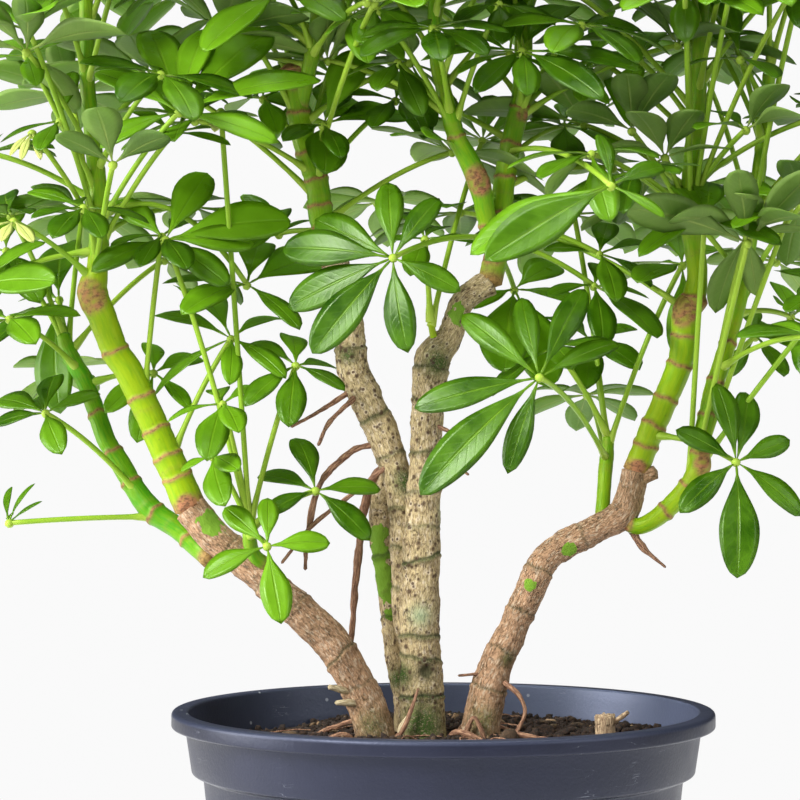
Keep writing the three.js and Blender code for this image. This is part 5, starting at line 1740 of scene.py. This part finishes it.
@dataclass(frozen=True)
class Leaf:
    """A leaf before it is fitted in: its stalk's ends, its axis and its leaflets' headings and lengths."""

    start: Array
    hub: Array
    axis: Array
    blades: tuple[tuple[Array, float], ...]
    seed: float
    bow: float = 0.12
    width_share: float = 0.35
    foot: float = 4.0
    extra: tuple[tuple[Array, float], ...] = ()

    def turned(self, turn: float) -> Array:
        """The hub with the leaf turned about the upright through its foot."""
        x, y, z = self.hub - self.start
        cos, sin = math.cos(turn), math.sin(turn)
        return self.start + np.array([cos * x - sin * y, sin * x + cos * y, z])

    def stalk(self, hub: Array, stations: int) -> Array:
        """Stations on the stalk: a quadratic curve over a middle point that is raised by the bow."""
        middle = (self.start + hub) / 2 + self.bow * np.linalg.norm(hub - self.start) * UP
        share = np.linspace(0, 1, stations)[:, None]
        return (1 - share) ** 2 * self.start + 2 * share * (1 - share) * middle + share**2 * hub

    def leaflet(self, hub: Array, blade: tuple[Array, float], extra: float, seed: float) -> Leaflet:
        """One of its leaflets, leaning back by a droop angle, rolled and curled by its own draws.

        Args:
            hub: where the leaf's hub is.
            blade: the leaflet's heading and length.
            extra: what is added to the usual droop, in radians.
            seed: the leaflet's own seed.

        Returns:
            The leaflet.
        """
        heading, length = blade
        normal = unit(self.axis - (self.axis @ heading) * heading)
        droop = LEAN_BACK + extra
        bent = math.cos(droop) * heading - math.sin(droop) * normal
        face = math.sin(droop) * heading + math.cos(droop) * normal
        level = np.cross(face, bent)
        roll = ROLL * sway(seed)
        side = math.cos(roll) * level + math.sin(roll) * face
        up = math.cos(roll) * face - math.sin(roll) * level
        curl = CURL * between(CURL_RANGE, draw(seed + 0.5))
        half = length * self.width_share / 2
        tint = 0.6 * draw(self.seed + 0.9) + 0.4 * draw(seed + 0.3)
        return Leaflet(hub, side, up, bent, length, half, curl, tint)


def front_heading(bearing: float, axis: Array) -> Array:
    """The heading in a leaf's plane that shows a bearing, in degrees, to a viewer in front of the plant.

    Across and up are the bearing's cosine and sine, and the depth is what keeps the heading square to the
    leaf's axis, up to a limit either way.
    """
    across, rise = math.cos(math.radians(bearing)), math.sin(math.radians(bearing))
    depth = -(axis[0] * across + axis[2] * rise) / axis[1] if abs(axis[1]) > 0.05 else 0.0
    return unit(np.array([across, min(max(depth, -DEEPEST), DEEPEST), rise]))


def listed_leaf(plan: LeafPlan, limbs: Sequence[Route], seed: float) -> Leaf:
    """A leaf that is placed by itself."""
    axis = unit(np.array(plan.facing, dtype=float))
    blades = tuple((front_heading(bearing, axis), length) for bearing, length in plan.blades)
    route = limbs[plan.limb]
    place = np.array(plan.at)
    foot = float(route.radius(place))
    hub = np.array(plan.hub, dtype=float)
    return Leaf(route.at(place), hub, axis, blades, seed, plan.bow, plan.width_share, foot)


def spiral_leaf(plan: SpiralPlan, index: int, route: Route, spiral_seed: float, seed: float) -> Leaf:
    """One leaf of a spiral.

    Leaves follow each other round the limb by the same turn and reach further in front and behind. The
    leaf leans outward, and its leaflets divide a full ring, the outermost the longest.

    Args:
        plan: the spiral.
        index: the leaf's number in it.
        route: the limb's route.
        spiral_seed: the seed of the spiral's draws.
        seed: the leaf's own seed.

    Returns:
        The leaf.
    """
    share = index / (plan.count - 1)
    first = spiral_seed + 7 * index
    angle = math.radians(plan.turn + NEXT_LEAF * index + 14 * sway(first))
    rise = math.radians(between(plan.rise, share))
    depth = 0.5 if math.sin(angle) > 0 else 0.15
    spread = 1 + depth * abs(math.sin(angle)) * math.cos(rise)
    reach = spread * between(plan.reach, draw(first + 1))
    outward = np.array([math.cos(angle), math.sin(angle), 0.0])
    place = np.array(between(plan.span, share))
    start = route.at(place)
    axis = unit(UP + between(LEAN_OUT, draw(first + 2)) * outward)
    ahead = unit(outward - (outward @ axis) * axis)
    aside = np.cross(axis, ahead)
    size = between(plan.blade, draw(first + 3))
    blades = []
    for number in range(-(LEAFLETS // 2), LEAFLETS // 2 + 1):
        bearing = (number + 0.3 * sway(first + 3 * number)) * FULL_TURN / LEAFLETS
        length = size * (1 - 0.14 * (1 - math.cos(bearing)))
        blades.append((math.cos(bearing) * ahead + math.sin(bearing) * aside, length))
    hub = start + reach * math.cos(rise) * outward + reach * math.sin(rise) * UP
    foot = float(route.radius(place))
    return Leaf(start, hub, axis, tuple(blades[1:-1]), seed, foot=foot, extra=(blades[0], blades[-1]))


def node_points(node: str) -> Array:
    """The corners of one of the loaded solids, in millimetres."""
    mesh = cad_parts[node].data
    values = np.zeros(3 * len(mesh.vertices), np.float32)
    mesh.vertices.foreach_get("co", values)
    return values.reshape(-1, 3) / MM


def is_corner(corners: Array, point: Array) -> bool:
    """Whether a solid has a corner at a point."""
    return bool(np.min(np.sum((corners - point) ** 2, axis=1)) < CORNER_REACH**2)


def blade_outline(along: Array, half: Array, stalk: float = 0.62) -> Array:
    """Half widths of leaflets along them.

    Past a short stalk, the outline is the sine of pi u^1.3 to a power that falls from 0.98 at the base to
    0.56 at the tip, u being the share of the blade: it tapers in, is widest past its middle and ends round.

    Args:
        along: shares of the length from 0 to 1, in the shape (rows,).
        half: each leaflet's greatest half width, in the shape (leaflets, 1).
        stalk: the half width of the leaflet's own stalk.

    Returns:
        Half widths in the shape (leaflets, rows).
    """
    share = np.clip((along - BLADE_START) / (1 - BLADE_START), 0, 1)
    outline = np.maximum(np.sin(np.pi * share**1.3), 0) ** (0.98 - 0.42 * smooth(share, 0.3, 0.85))
    stem = stalk * (1 - smooth(along, BLADE_START, 0.3))
    return np.maximum(half * outline, stem)


def leaflet_points(leaflets: Sequence[Leaflet], detail: Detail) -> tuple[Array, Array, Array]:
    """Closed shells of many leaflets at once.

    A leaflet's midrib is an arc that bends down. Each row goes out along the side direction by the
    outline's half width, and its edges stand up by the cup and by a slow wave. The upper and lower skins
    part by the thickness, which fades to the edges.

    Args:
        leaflets: the leaflets.
        detail: how finely they are made.

    Returns:
        Points in the shape (leaflets, rows * sides + 2, 3), the place on the leaflet as (along, across,
        tint) for each point, and the youth of each point.
    """
    rows, steps = detail.value
    names = ("hub", "side", "up", "ahead")
    hub, side, up, ahead = (np.stack([getattr(x, name) for x in leaflets]) for name in names)
    sizes = np.array([[x.length, x.half, x.curl, x.tint, x.youth, x.cup] for x in leaflets])
    length, half, curl, tint, youth, cup = (sizes[:, k, None] for k in range(6))
    along = np.linspace(0, 1, rows + 2)[1:-1]
    along = along + 0.06 * np.sin(np.pi * along)
    across = np.concatenate([np.linspace(1, -1, steps + 1), np.linspace(-1, 1, steps + 1)[1:-1]])
    upper = np.concatenate([np.ones(steps + 1), -np.ones(steps - 1)])
    bend = curl * along
    out = length * np.sin(bend) / curl
    down = length * (1 - np.cos(bend)) / curl
    middle = hub[:, None] + out[..., None] * ahead[:, None] - down[..., None] * up[:, None]
    normal = np.sin(bend)[..., None] * ahead[:, None] + np.cos(bend)[..., None] * up[:, None]
    width = blade_outline(along, half)
    edge = np.abs(across)
    wave = 0.035 * np.sin(FULL_TURN * (1.6 * along + tint)[..., None] + 2.1 * np.sign(across))
    lift = width[..., None] * (cup[..., None] * edge**1.3 + wave * edge**2)
    thick = (0.3 + 0.3 * (1 - smooth(along, 0.05, 0.3)))[:, None] * (1 - edge**2) * upper
    rings = (
        middle[:, :, None]
        + (width[..., None] * across)[..., None] * side[:, None, None]
        + (lift + thick)[..., None] * normal[:, :, None]
    )
    tip = np.stack([x.tip() for x in leaflets])[:, None]
    count = len(leaflets)
    points = np.concatenate([rings.reshape(count, -1, 3), hub[:, None], tip], axis=1)
    place = np.broadcast_to(along[:, None], (rows, len(across)))
    blade = np.empty((count, rows * len(across) + 2, 3))
    blade[:, :-2, 0] = place.ravel()
    blade[:, :-2, 1] = np.broadcast_to(across, place.shape).ravel()
    blade[:, -2], blade[:, -1] = 0, (1, 0, 0)
    blade[..., 2] = tint
    return points, blade, np.broadcast_to(youth, blade.shape[:2])


def add_leaflets(skin: Skin, leaflets: Sequence[Leaflet], detail: Detail) -> None:
    """Adds leaflets to a piece, with material 0 on their upper and 1 on their lower side."""
    if not leaflets:
        return
    rows, steps = detail.value
    sides = 2 * steps
    points, blade, youth = leaflet_points(leaflets, detail)
    quads, fans = tube_faces(len(leaflets), rows, sides)
    side = (np.arange(sides) >= steps).astype(int)
    quad_slots = np.tile(side, (rows - 1) * len(leaflets))
    fan_slots = np.tile(side, 2 * len(leaflets))
    skin.add(
        points.reshape(-1, 3), (quads, fans), (quad_slots, fan_slots),
        blade=blade.reshape(-1, 3), youth=youth.reshape(-1),
    )


Settled = tuple[Leaf, Array, list[Leaflet]]

# Leaves with slimmer leaflets than the others, as the half width's share for the leaf's number.
SLIM: dict[str, dict[int, float]] = {
    "shoot_right_inner": {0: 0.7},
    "shoot_middle": {0: 0.88, 1: 0.72, 5: 0.8, 6: 0.8},
    "shoot_left_top": {1: 0.8, 2: 0.85, 7: 0.85, 8: 0.8},
    "shoot_right_top": {0: 0.9, 2: 0.85},
}

# How grassy a shoot's green is, where it isn't the usual share.
GRASSY = {
    "shoot_left_low": 0.75, "shoot_right_outer": 0.3, "shoot_right_inner": 0.45, "shoot_left_inner": 0.6,
}

SHOOT_RINGS: dict[str, tuple[Ring, ...]] = {
    "shoot_left_top": tuple(Ring(0, z) for z in (346, 326, 311.4, 300, 290)),
    "shoot_right_top": (Ring(0, 369, 1.3), *(Ring(0, z) for z in (353, 340, 325, 313.6, 304.8))),
    "shoot_middle_left": tuple(Ring(0, z) for z in (453, 435, 423, 411, 402, 395.6)),
    "shoot_middle": (*(Ring(0, z) for z in (392, 407, 424, 439, 455)), Ring(1, 402), Ring(1, 440, 0.8)),
    "shoot_right_outer": tuple(Ring(0, z) for z in (276, 287, 302, 318, 333, 350)),
    "shoot_left_low": tuple(Ring(0, z) for z in (263, 274, 288, 301, 318)),
}

SHOOT_PATCHES: dict[str, list[Patch]] = {
    "shoot_left_top": marked(Mark.KNOB, (0, 371, -100, 8))
    + marked(Mark.BROWN, (0, 279, -90, 5, 0.8)),
    "shoot_right_top": marked(Mark.KNOB, (0, 368, -40, 4.5))
    + marked(Mark.BROWN, (0, 363, -105, 6, 1.3), (0, 296, -90, 4, 0.7)),
    "shoot_middle_left": marked(Mark.BROWN, (0, 472, -90, 9), (0, 472, 90, 9)),
    "shoot_middle": marked(Mark.KNOB, (1, 422, -90, 7))
    + marked(Mark.BROWN, (0, 452, -60, 4, 0.7), (0, 390, -120, 9, 0.8), (0, 410, 60, 9, 0.6)),
    "shoot_right_outer": marked(Mark.KNOB, (0, 297, -70, 5))
    + marked(Mark.BROWN, (0, 271, -90, 5)),
}

# More leaves than the solids have, which fill the crown: those of spirals and those placed one by one.
CROWN: dict[str, tuple[SpiralPlan, ...]] = {
    "shoot_left_top": (
        SpiralPlan(0, 15, (0.5, 1), 10, (5, 65), (50, 105), (50, 70)),
        SpiralPlan(0, 5, (0.3, 0.6), 60, (25, 60), (80, 120), (46, 60)),
    ),
    "shoot_left_low": (SpiralPlan(0, 9, (0.5, 1), 200, (10, 60), (50, 90), (44, 60)),),
    "shoot_left_inner": (SpiralPlan(0, 4, (0.6, 1), 20, (80, 86), (125, 180), (46, 58)),),
    "shoot_middle_left": (
        SpiralPlan(0, 7, (0.25, 0.9), 20, (30, 65), (60, 100), (46, 62)),
        SpiralPlan(1, 10, (0.3, 1), 150, (5, 70), (45, 90), (46, 62)),
    ),
    "shoot_knob": (SpiralPlan(0, 2, (0.8, 1), 60, (60, 75), (80, 100), (40, 48)),),
    "shoot_middle": (
        SpiralPlan(0, 8, (0.35, 1), 70, (5, 70), (50, 100), (48, 66)),
        SpiralPlan(1, 5, (0.4, 1), 10, (10, 70), (45, 85), (46, 60)),
    ),
    "shoot_right_top": (
        SpiralPlan(0, 16, (0.45, 1), 40, (5, 70), (45, 100), (48, 68)),
        SpiralPlan(0, 6, (0.3, 0.6), 20, (15, 55), (60, 100), (46, 60)),
    ),
    "shoot_right_outer": (SpiralPlan(0, 15, (0.4, 1), 170, (5, 65), (45, 90), (46, 62)),),
    "shoot_right_inner": (SpiralPlan(0, 7, (0.5, 1), 140, (35, 78), (60, 140), (44, 58)),),
}

CROWN_LEAVES: dict[str, tuple[LeafPlan, ...]] = {
    "shoot_left_top": (
        leaf(0, 0.62, (-113, -50, 447), (0, -75, 66), 108, 66, 80, 56, 48, 72, 20, 66, 345, 46, 150, 48, 200,
             38, bow=0.1, width=0.27),
        leaf(0, 0.5, (-140, -60, 424), (0, 60, 80), 99, 42, 152, 30, 28, 34, bow=0.1, width=0.38),
        leaf(0, 0.75, (-179, -40, 474), (10, 50, 85), 15, 56, 310, 44, 170, 46, 135, 44, 75, 40),
        leaf(0, 0.6, (-178, -30, 440), (0, -50, 86), 230, 20, 300, 22, 260, 24, bow=0.1, width=0.16),
        leaf(0, 0.5, (-186, -30, 402), (0, -50, 86), 200, 20, 250, 18, 320, 20, bow=0.1, width=0.3),
    ),
    "shoot_left_inner": (
        leaf(0, 0.9, (-122, -10, 395), (0, -80, 60), 62, 46, 12, 58, 0, 40, 325, 38, 140, 34, 200, 36),
        leaf(0, 0.9, (-98, -5, 452), (0, -40, 90), 260, 18, 290, 16, 240, 14, bow=0.02, width=0.3),
    ),
    "shoot_middle_left": (
        leaf(0, 0.72, (-53, 20, 449), (20, -50, 85), 12, 50, 45, 42, 275, 46, 80, 44, 150, 38, bow=0.1,
             width=0.4),
    ),
    "shoot_middle": (
        leaf(0, 0.6, (33, -50, 473), (0, -55, 83), 104, 60, 56, 64, 352, 52, 325, 50, 275, 40, 180, 44, 222,
             38, bow=0.1, width=0.3),
    ),
    "shoot_right_top": (
        leaf(0, 0.6, (82, -20, 442), (0, 60, 80), 62, 44, 98, 42, 160, 36, bow=0.1, width=0.36),
        leaf(0, 0.6, (102, -50, 499), (0, -30, 95), 200, 45, 340, 45, 90, 45, 150, 45, 30, 45),
        leaf(0, 0.61, (123, -50, 505), (0, -30, 95), 220, 42, 330, 45, 80, 45, 160, 45, 10, 45),
        leaf(0, 0.64, (149, -50, 501), (0, -30, 95), 190, 45, 350, 45, 100, 45, 140, 45, 40, 45),
    ),
    "shoot_right_outer": (
        leaf(0, 0.27, (130, -40, 392), (0, 70, 70), 103, 46, 50, 50, 163, 62, bow=0.03, width=0.3),
        leaf(0, 0.3, (151, -30, 410), (0, -40, 88), 20, 46, 60, 44, 160, 42, 330, 42, 200, 40, bow=0.03,
             width=0.32),
        leaf(0, 0.25, (112, -36, 402), (0, -50, 80), 110, 42, 70, 44, 200, 38, 345, 36, bow=0.03, width=0.32),
        leaf(0, 0.32, (170, -25, 372), (0, -30, 92), 30, 44, 350, 42, 150, 44, 200, 40, bow=0.03, width=0.32),
    ),
}


@dataclass(frozen=True)
class Shoot:
    """A green shoot: its limbs with ring scars, the stalks, hubs and leaflets of its leaves."""

    plan: ShootPlan
    number: int
    sides: int = 32
    step: float = 0.8
    stalk_radius: float = 1.2
    stalk_foot: float = 0.95
    stalk_stations: int = 12
    stalk_sides: int = 8
    hub_radius: float = 2.1
    wide: float = 1.06
    grassy: float = 0.1
    knob_height: float = 0.9
    brown_height: float = 0.35
    large: float = 48
    small: float = 25
    extra_droop: float = 0.15
    crown_seed: int = 5000
    listed_seed: int = 6000
    crown_bottom: float = 476
    back: float = 8
    back_bottom: float = 390
    raised_bottom: float = 440
    raised_by: float = 0.35

    def planned(self) -> list[Leaf]:
        """All leaves of the plan in order, the listed ones first."""
        limbs = [Route(limb) for limb in self.plan.limbs]
        base = 100 * (self.number + 1)
        seeds = itertools.count(base, 10)
        leaves = [listed_leaf(leaf, limbs, next(seeds)) for leaf in self.plan.leaves]
        for k, spiral in enumerate(self.plan.spirals):
            route = limbs[spiral.limb]
            for index in range(spiral.count):
                leaves.append(spiral_leaf(spiral, index, route, base + 50 * (k + 1), next(seeds)))
        return leaves

    def settled(self) -> list[Settled]:
        """The leaves that the solid has, each with its hub and its leaflets.

        A leaf was turned and its leaflets drooped until they were clear of the others, so the turn and the
        droops are the ones whose hub and tips are corners of the solid.

        Returns:
            Each leaf with its hub and leaflets.
        """
        corners = node_points(self.plan.node)
        found = []
        slim = SLIM.get(self.plan.node, {})
        for number, leaf in enumerate(self.planned()):
            hubs = (leaf.turned(turn) for turn in TURNS)
            hub = next((hub for hub in hubs if is_corner(corners, hub + HUB_TOP * leaf.axis)), None)
            if hub is None:
                continue
            leaflets = []
            for index, blade in enumerate(leaf.blades):
                tries = (leaf.leaflet(hub, blade, extra, leaf.seed + index) for extra in DROOPS)
                kept = next((x for x in tries if is_corner(corners, x.tip())), None)
                if kept:
                    leaflets.append(replace(kept, half=slim.get(number, 1) * kept.half))
            for index, blade in enumerate(leaf.extra):
                leaflets.append(leaf.leaflet(hub, blade, self.extra_droop, leaf.seed + 7 + index))
            found.append((leaf, hub, leaflets))
        log.info("%s: %d leaves", self.plan.node, len(found))
        return found

    def crown(self) -> list[Settled]:
        """The finer leaves that fill the crown, high up or behind, and inside the plant's box."""
        limbs = [Route(limb) for limb in self.plan.limbs]
        leaves = []
        for k, spiral in enumerate(CROWN.get(self.plan.node, ())):
            for index in range(spiral.count):
                seed = self.crown_seed + 100 * self.number + 40 * k + 3 * index
                leaf = spiral_leaf(spiral, index, limbs[spiral.limb], seed, seed)
                if leaf.hub[2] > (self.back_bottom if leaf.hub[1] > self.back else self.crown_bottom):
                    leaves.append(leaf)
        for number, plan in enumerate(CROWN_LEAVES.get(self.plan.node, ())):
            leaves.append(listed_leaf(plan, limbs, self.listed_seed + 100 * self.number + 7 * number))
        found = []
        for leaf in leaves:
            droop = -self.raised_by if leaf.hub[2] > self.raised_bottom and leaf.extra else 0.0
            blades = enumerate(leaf.blades + leaf.extra)
            group = [leaf.leaflet(leaf.hub, blade, droop, leaf.seed + index) for index, blade in blades]
            tips = np.array([x.tip() for x in group])
            if np.all(tips > CROWN_BOX[0]) and np.all(tips < CROWN_BOX[1]):
                aged = [replace(x, youth=float(x.length < self.small)) for x in group]
                found.append((leaf, leaf.hub, aged))
        log.info("%s: %d more leaves in its crown", self.plan.node, len(found))
        return found

    def limb(self, skin: Skin, index: int, leaves: Sequence[Leaf]) -> None:
        """Adds one limb: smooth, with a raised brown scar at each ring and a swelling at each leaf's foot.

        Args:
            skin: the piece that gets it.
            index: which limb of the shoot.
            leaves: the leaves whose feet leave a ring.
        """
        grid = LimbGrid.of(self.plan.limbs[index], self.sides, self.step)
        surface = grid.surface()
        seed = 40 + 10 * self.number + index
        rings = [ring for ring in SHOOT_RINGS.get(self.plan.node, ()) if ring.limb == index]
        rings += [Ring(index, float(leaf.start[2]) - 3.5, 0.12) for leaf in leaves]
        patches = [patch for patch in SHOOT_PATCHES.get(self.plan.node, ()) if patch.limb == index]
        relief = 0.22 * noise(surface, 7, seed) + 0.1 * noise(surface, 2.2, seed + 1)
        scar = np.zeros(relief.shape)
        for ring in rings:
            past = grid.past_ring(ring)
            relief += ring.strength * (0.5 * bell(past, 1.1) - 0.22 * bell(past - 2.3, 0.9))
            scar = np.maximum(scar, 0.95 * ring.strength * bell(past - 0.3, 0.85))
        knob = grid.masks(patches, Mark.KNOB)
        brown = smooth(np.maximum(grid.masks(patches, Mark.BROWN), knob), 0.2, 0.6)
        rough = noise(surface, 1.6, seed + 3)
        relief += self.knob_height * knob + self.brown_height * brown * rough
        base = 1 - smooth(grid.along, 1, 7)[:, None] + 0 * relief
        scar = np.clip(np.maximum(scar, brown * (0.75 + 0.5 * rough)) + 0.8 * base, 0, 1)
        high = smooth(surface[..., 2], 365, 410)
        usual = GRASSY.get(self.plan.node, self.grassy)
        grassy = usual + (0.5 - usual) * high + 0.2 * noise(surface, 16, seed + 2)
        marks = np.stack([scar, np.clip(grassy, 0, 1), 0 * scar], axis=-1)
        grid.add(skin, grid.skin(relief, 0.6), 0, grain=grid.grain(700 + 30 * seed), marks=marks)

    def stalks(self, skin: Skin, settled: Sequence[Settled]) -> None:
        """Adds the stalks, swollen where they clasp the limb, and the hubs that they end in.

        Args:
            skin: the piece that gets them.
            settled: the leaves with their hubs.
        """
        centres = np.stack([leaf.stalk(hub, self.stalk_stations) for leaf, hub, _ in settled])
        walked = np.linalg.norm(np.diff(centres, axis=1), axis=-1).cumsum(axis=1)
        walked = np.concatenate([np.zeros((len(centres), 1)), walked], axis=1)
        foot = np.array([leaf.foot for leaf, _, _ in settled])[:, None]
        radii = self.stalk_radius + self.stalk_foot * bell(np.maximum(walked - foot, 0), 5.0)
        points = tube_points(centres, radii, self.stalk_sides)
        share = walked / walked[:, -1:]
        tint = np.array([draw(leaf.seed + 0.7) for leaf, _, _ in settled])[:, None]
        stalk = np.stack([share, tint + 0 * share, 0 * share], axis=-1)[:, :, None]
        painted = np.broadcast_to(stalk, (*share.shape, self.stalk_sides, 3))
        faces = tube_faces(len(centres), self.stalk_stations, self.stalk_sides)
        skin.add(points.reshape(-1, 3), faces, (1, 1), stalk=with_poles(painted))
        hubs = np.stack([hub for _, hub, _ in settled])
        axes = np.stack([leaf.axis for leaf, _, _ in settled])
        levels = np.array([-2.2, -1.0, 0.4, 1.3])
        middle = hubs[:, None] + levels[:, None] * axes[:, None]
        swell = np.broadcast_to(self.hub_radius * np.array([0.6, 0.95, 0.95, 0.5]), middle.shape[:2])
        knobs = tube_points(middle, swell, self.stalk_sides)
        ends = np.zeros((*middle.shape[:2], self.stalk_sides, 3)) + [1.0, 0.3, 0.0]
        faces = tube_faces(len(hubs), len(levels), self.stalk_sides)
        skin.add(knobs.reshape(-1, 3), faces, (1, 1), stalk=with_poles(ends))

    def build(self, finishes: Finishes) -> None:
        """Makes the shoot's two pieces: its stems with stalks, and its leaflets."""
        settled = self.settled() + self.crown()
        stems = Skin(f"{self.plan.node}_stem")
        for index in range(len(self.plan.limbs)):
            own = [leaf for leaf, _, _ in settled if self.grows_from(leaf, index)]
            self.limb(stems, index, own)
        self.stalks(stems, settled)
        stems.finish([finishes.stem, finishes.stalk], "foliage", self.plan.node)
        leaflets = [self.widened(x) for _, _, group in settled for x in group]
        blades = Skin(f"{self.plan.node}_leaflets")
        add_leaflets(blades, [x for x in leaflets if x.length < self.large], Detail.PLAIN)
        add_leaflets(blades, [x for x in leaflets if x.length >= self.large], Detail.FINE)
        blades.finish([finishes.leaf_top, finishes.leaf_under], "foliage", self.plan.node)

    def grows_from(self, leaf: Leaf, index: int) -> bool:
        """Whether a leaf's foot lies on one of the limbs."""
        line = Route(self.plan.limbs[index]).at(np.linspace(0, 1, 200))
        return bool(np.min(np.linalg.norm(line - leaf.start, axis=1)) < 1.5)

    def widened(self, leaflet: Leaflet) -> Leaflet:
        """The leaflet at its full width, which the solid's straight edges fall short of."""
        return replace(leaflet, half=self.wide * leaflet.half)


# ---------------------------------------------------------------- the studio


@dataclass(frozen=True)
class Studio:
    """A pale floor, a near-white room and soft lamps."""

    floor_rows: tuple[float, ...] = (300, 600, 900, 1500, 9000)
    floor_sides: int = 96
    shade: float = 0.955
    room_light: float = 0.52
    room_gloss: float = 0.06

    def floor(self) -> None:
        """A flat disc whose far part shines with the room's own white, so that no horizon shows."""
        sides = self.floor_sides
        side = np.arange(sides)
        after = (side + 1) % sides
        angle = side * FULL_TURN / sides
        circle = np.stack([np.cos(angle), np.sin(angle), 0 * angle], axis=-1)
        rings = [radius * circle for radius in self.floor_rows]
        points = np.concatenate([*rings, [[0, 0, 0]]]) * MM
        faces = [(len(points) - 1, int(a), int(b)) for a, b in zip(side, after)]
        for row in range(len(rings) - 1):
            low, high = row * sides, (row + 1) * sides
            faces += [(low + int(a), high + int(a), high + int(b), low + int(b)) for a, b in zip(side, after)]
        mesh = bpy.data.meshes.new("studio_floor")
        mesh.from_pydata(points.tolist(), [], faces)
        sheet = Finish.start("studio_floor", Base_Color=(0.76, 0.76, 0.76), Roughness=0.9)
        place = sheet.place()
        reach = sheet.node("ShaderNodeVectorMath", {0: place}, operation="LENGTH").outputs["Value"]
        far = sheet.span(reach, 0.35, 0.95)
        white = (self.shade, self.shade, self.shade)
        shine = sheet.node("ShaderNodeEmission", {"Color": white, "Strength": 1.0})
        mesh.materials.append(sheet.show(sheet.blend(far, sheet.shader, shine)))
        floor = bpy.data.objects.new("studio_floor", mesh)
        bpy.context.scene.collection.objects.link(floor)

    def room(self) -> None:
        """A room that looks near-white and lights the plant a little less than it looks."""
        world = bpy.data.worlds.new("studio_room")
        world.use_nodes = True
        bpy.context.scene.world = world
        sheet = Sheet(world.node_tree)
        look = world.node_tree.nodes["Background"]
        look.inputs["Color"].default_value = (self.shade, self.shade, self.shade, 1)
        white = (1.0, 1.0, 1.0)
        light = sheet.node("ShaderNodeBackground", {"Color": white, "Strength": self.room_light})
        gloss = sheet.node("ShaderNodeBackground", {"Color": white, "Strength": self.room_gloss})
        path = sheet.node("ShaderNodeLightPath").outputs
        inner = sheet.blend(path["Is Glossy Ray"], light, gloss)
        both = sheet.blend(path["Is Camera Ray"], inner, look)
        sheet.feed(world.node_tree.nodes["World Output"].inputs["Surface"], both.outputs[0])

    def lamp(self, name: str, place: Point, size: float, power: float, mirrored: bool = True) -> None:
        """A square soft lamp that points at the plant.

        Args:
            name: its name.
            place: where it stands, in millimetres.
            size: its side, in millimetres.
            power: its power in watts.
            mirrored: whether it shows in glossy surfaces.
        """
        data = bpy.data.lights.new(name, "AREA")
        data.shape = "SQUARE"
        data.size = size * MM
        data.energy = power
        lamp = bpy.data.objects.new(name, data)
        lamp.location = np.array(place) * MM
        away = Vector(place) - Vector((0, 0, 300))
        lamp.rotation_euler = away.to_track_quat("Z", "Y").to_euler()
        lamp.visible_glossy = mirrored
        bpy.context.scene.collection.objects.link(lamp)

    def build(self) -> None:
        """Sets up the floor, the room and the lamps."""
        self.floor()
        self.room()
        self.lamp("key_left", (-1300, -1300, 1500), 900, 80)
        self.lamp("window_left", (-1900, -150, 480), 1300, 52)
        self.lamp("top_soft", (100, 100, 1900), 1300, 42)
        self.lamp("fill_right", (1700, -900, 900), 1200, 12)
        self.lamp("back_glow", (-300, 1500, 700), 1500, 36, mirrored=False)
        scene = bpy.context.scene
        scene.view_settings.view_transform = "Standard"
        scene.view_settings.look = "None"


@dataclass(frozen=True)
class Viewer:
    """The camera: level, in front of the plant and a little above its pot."""

    place: Point = (-19, -1253, 324.7)
    focal_share: float = 2830 / 800
    sensor: float = 36
    nearest: float = 0.05
    furthest: float = 50

    def build(self) -> None:
        """Makes the camera and hands the scene to it."""
        data = bpy.data.cameras.new("front_view")
        data.sensor_width = self.sensor
        data.lens = self.focal_share * self.sensor
        data.clip_start = self.nearest
        data.clip_end = self.furthest
        camera = bpy.data.objects.new("front_view", data)
        camera.location = np.array(self.place) * MM
        camera.rotation_euler = (math.radians(90), 0, 0)
        bpy.context.scene.collection.objects.link(camera)
        bpy.context.scene.camera = camera


def main() -> None:
    """Builds the whole plant and its studio."""
    logging.basicConfig(level=logging.INFO, format="%(name)s: %(message)s")
    Viewer().build()
    finishes = make_finishes()
    pot = NurseryPot()
    pot.build(finishes)
    SoilBed(pot).build(finishes)
    OldStub().build(finishes)
    RootCollar().build(finishes)
    for number, trunk in enumerate(TRUNK_PLANS):
        Trunk(trunk, number, *TRUNK_LOOKS[trunk.node]).build(finishes)
    for number, shoot in enumerate(SHOOT_PLANS):
        Shoot(shoot, number).build(finishes)
    Studio().build()


if __name__ == "__main__":
    main()
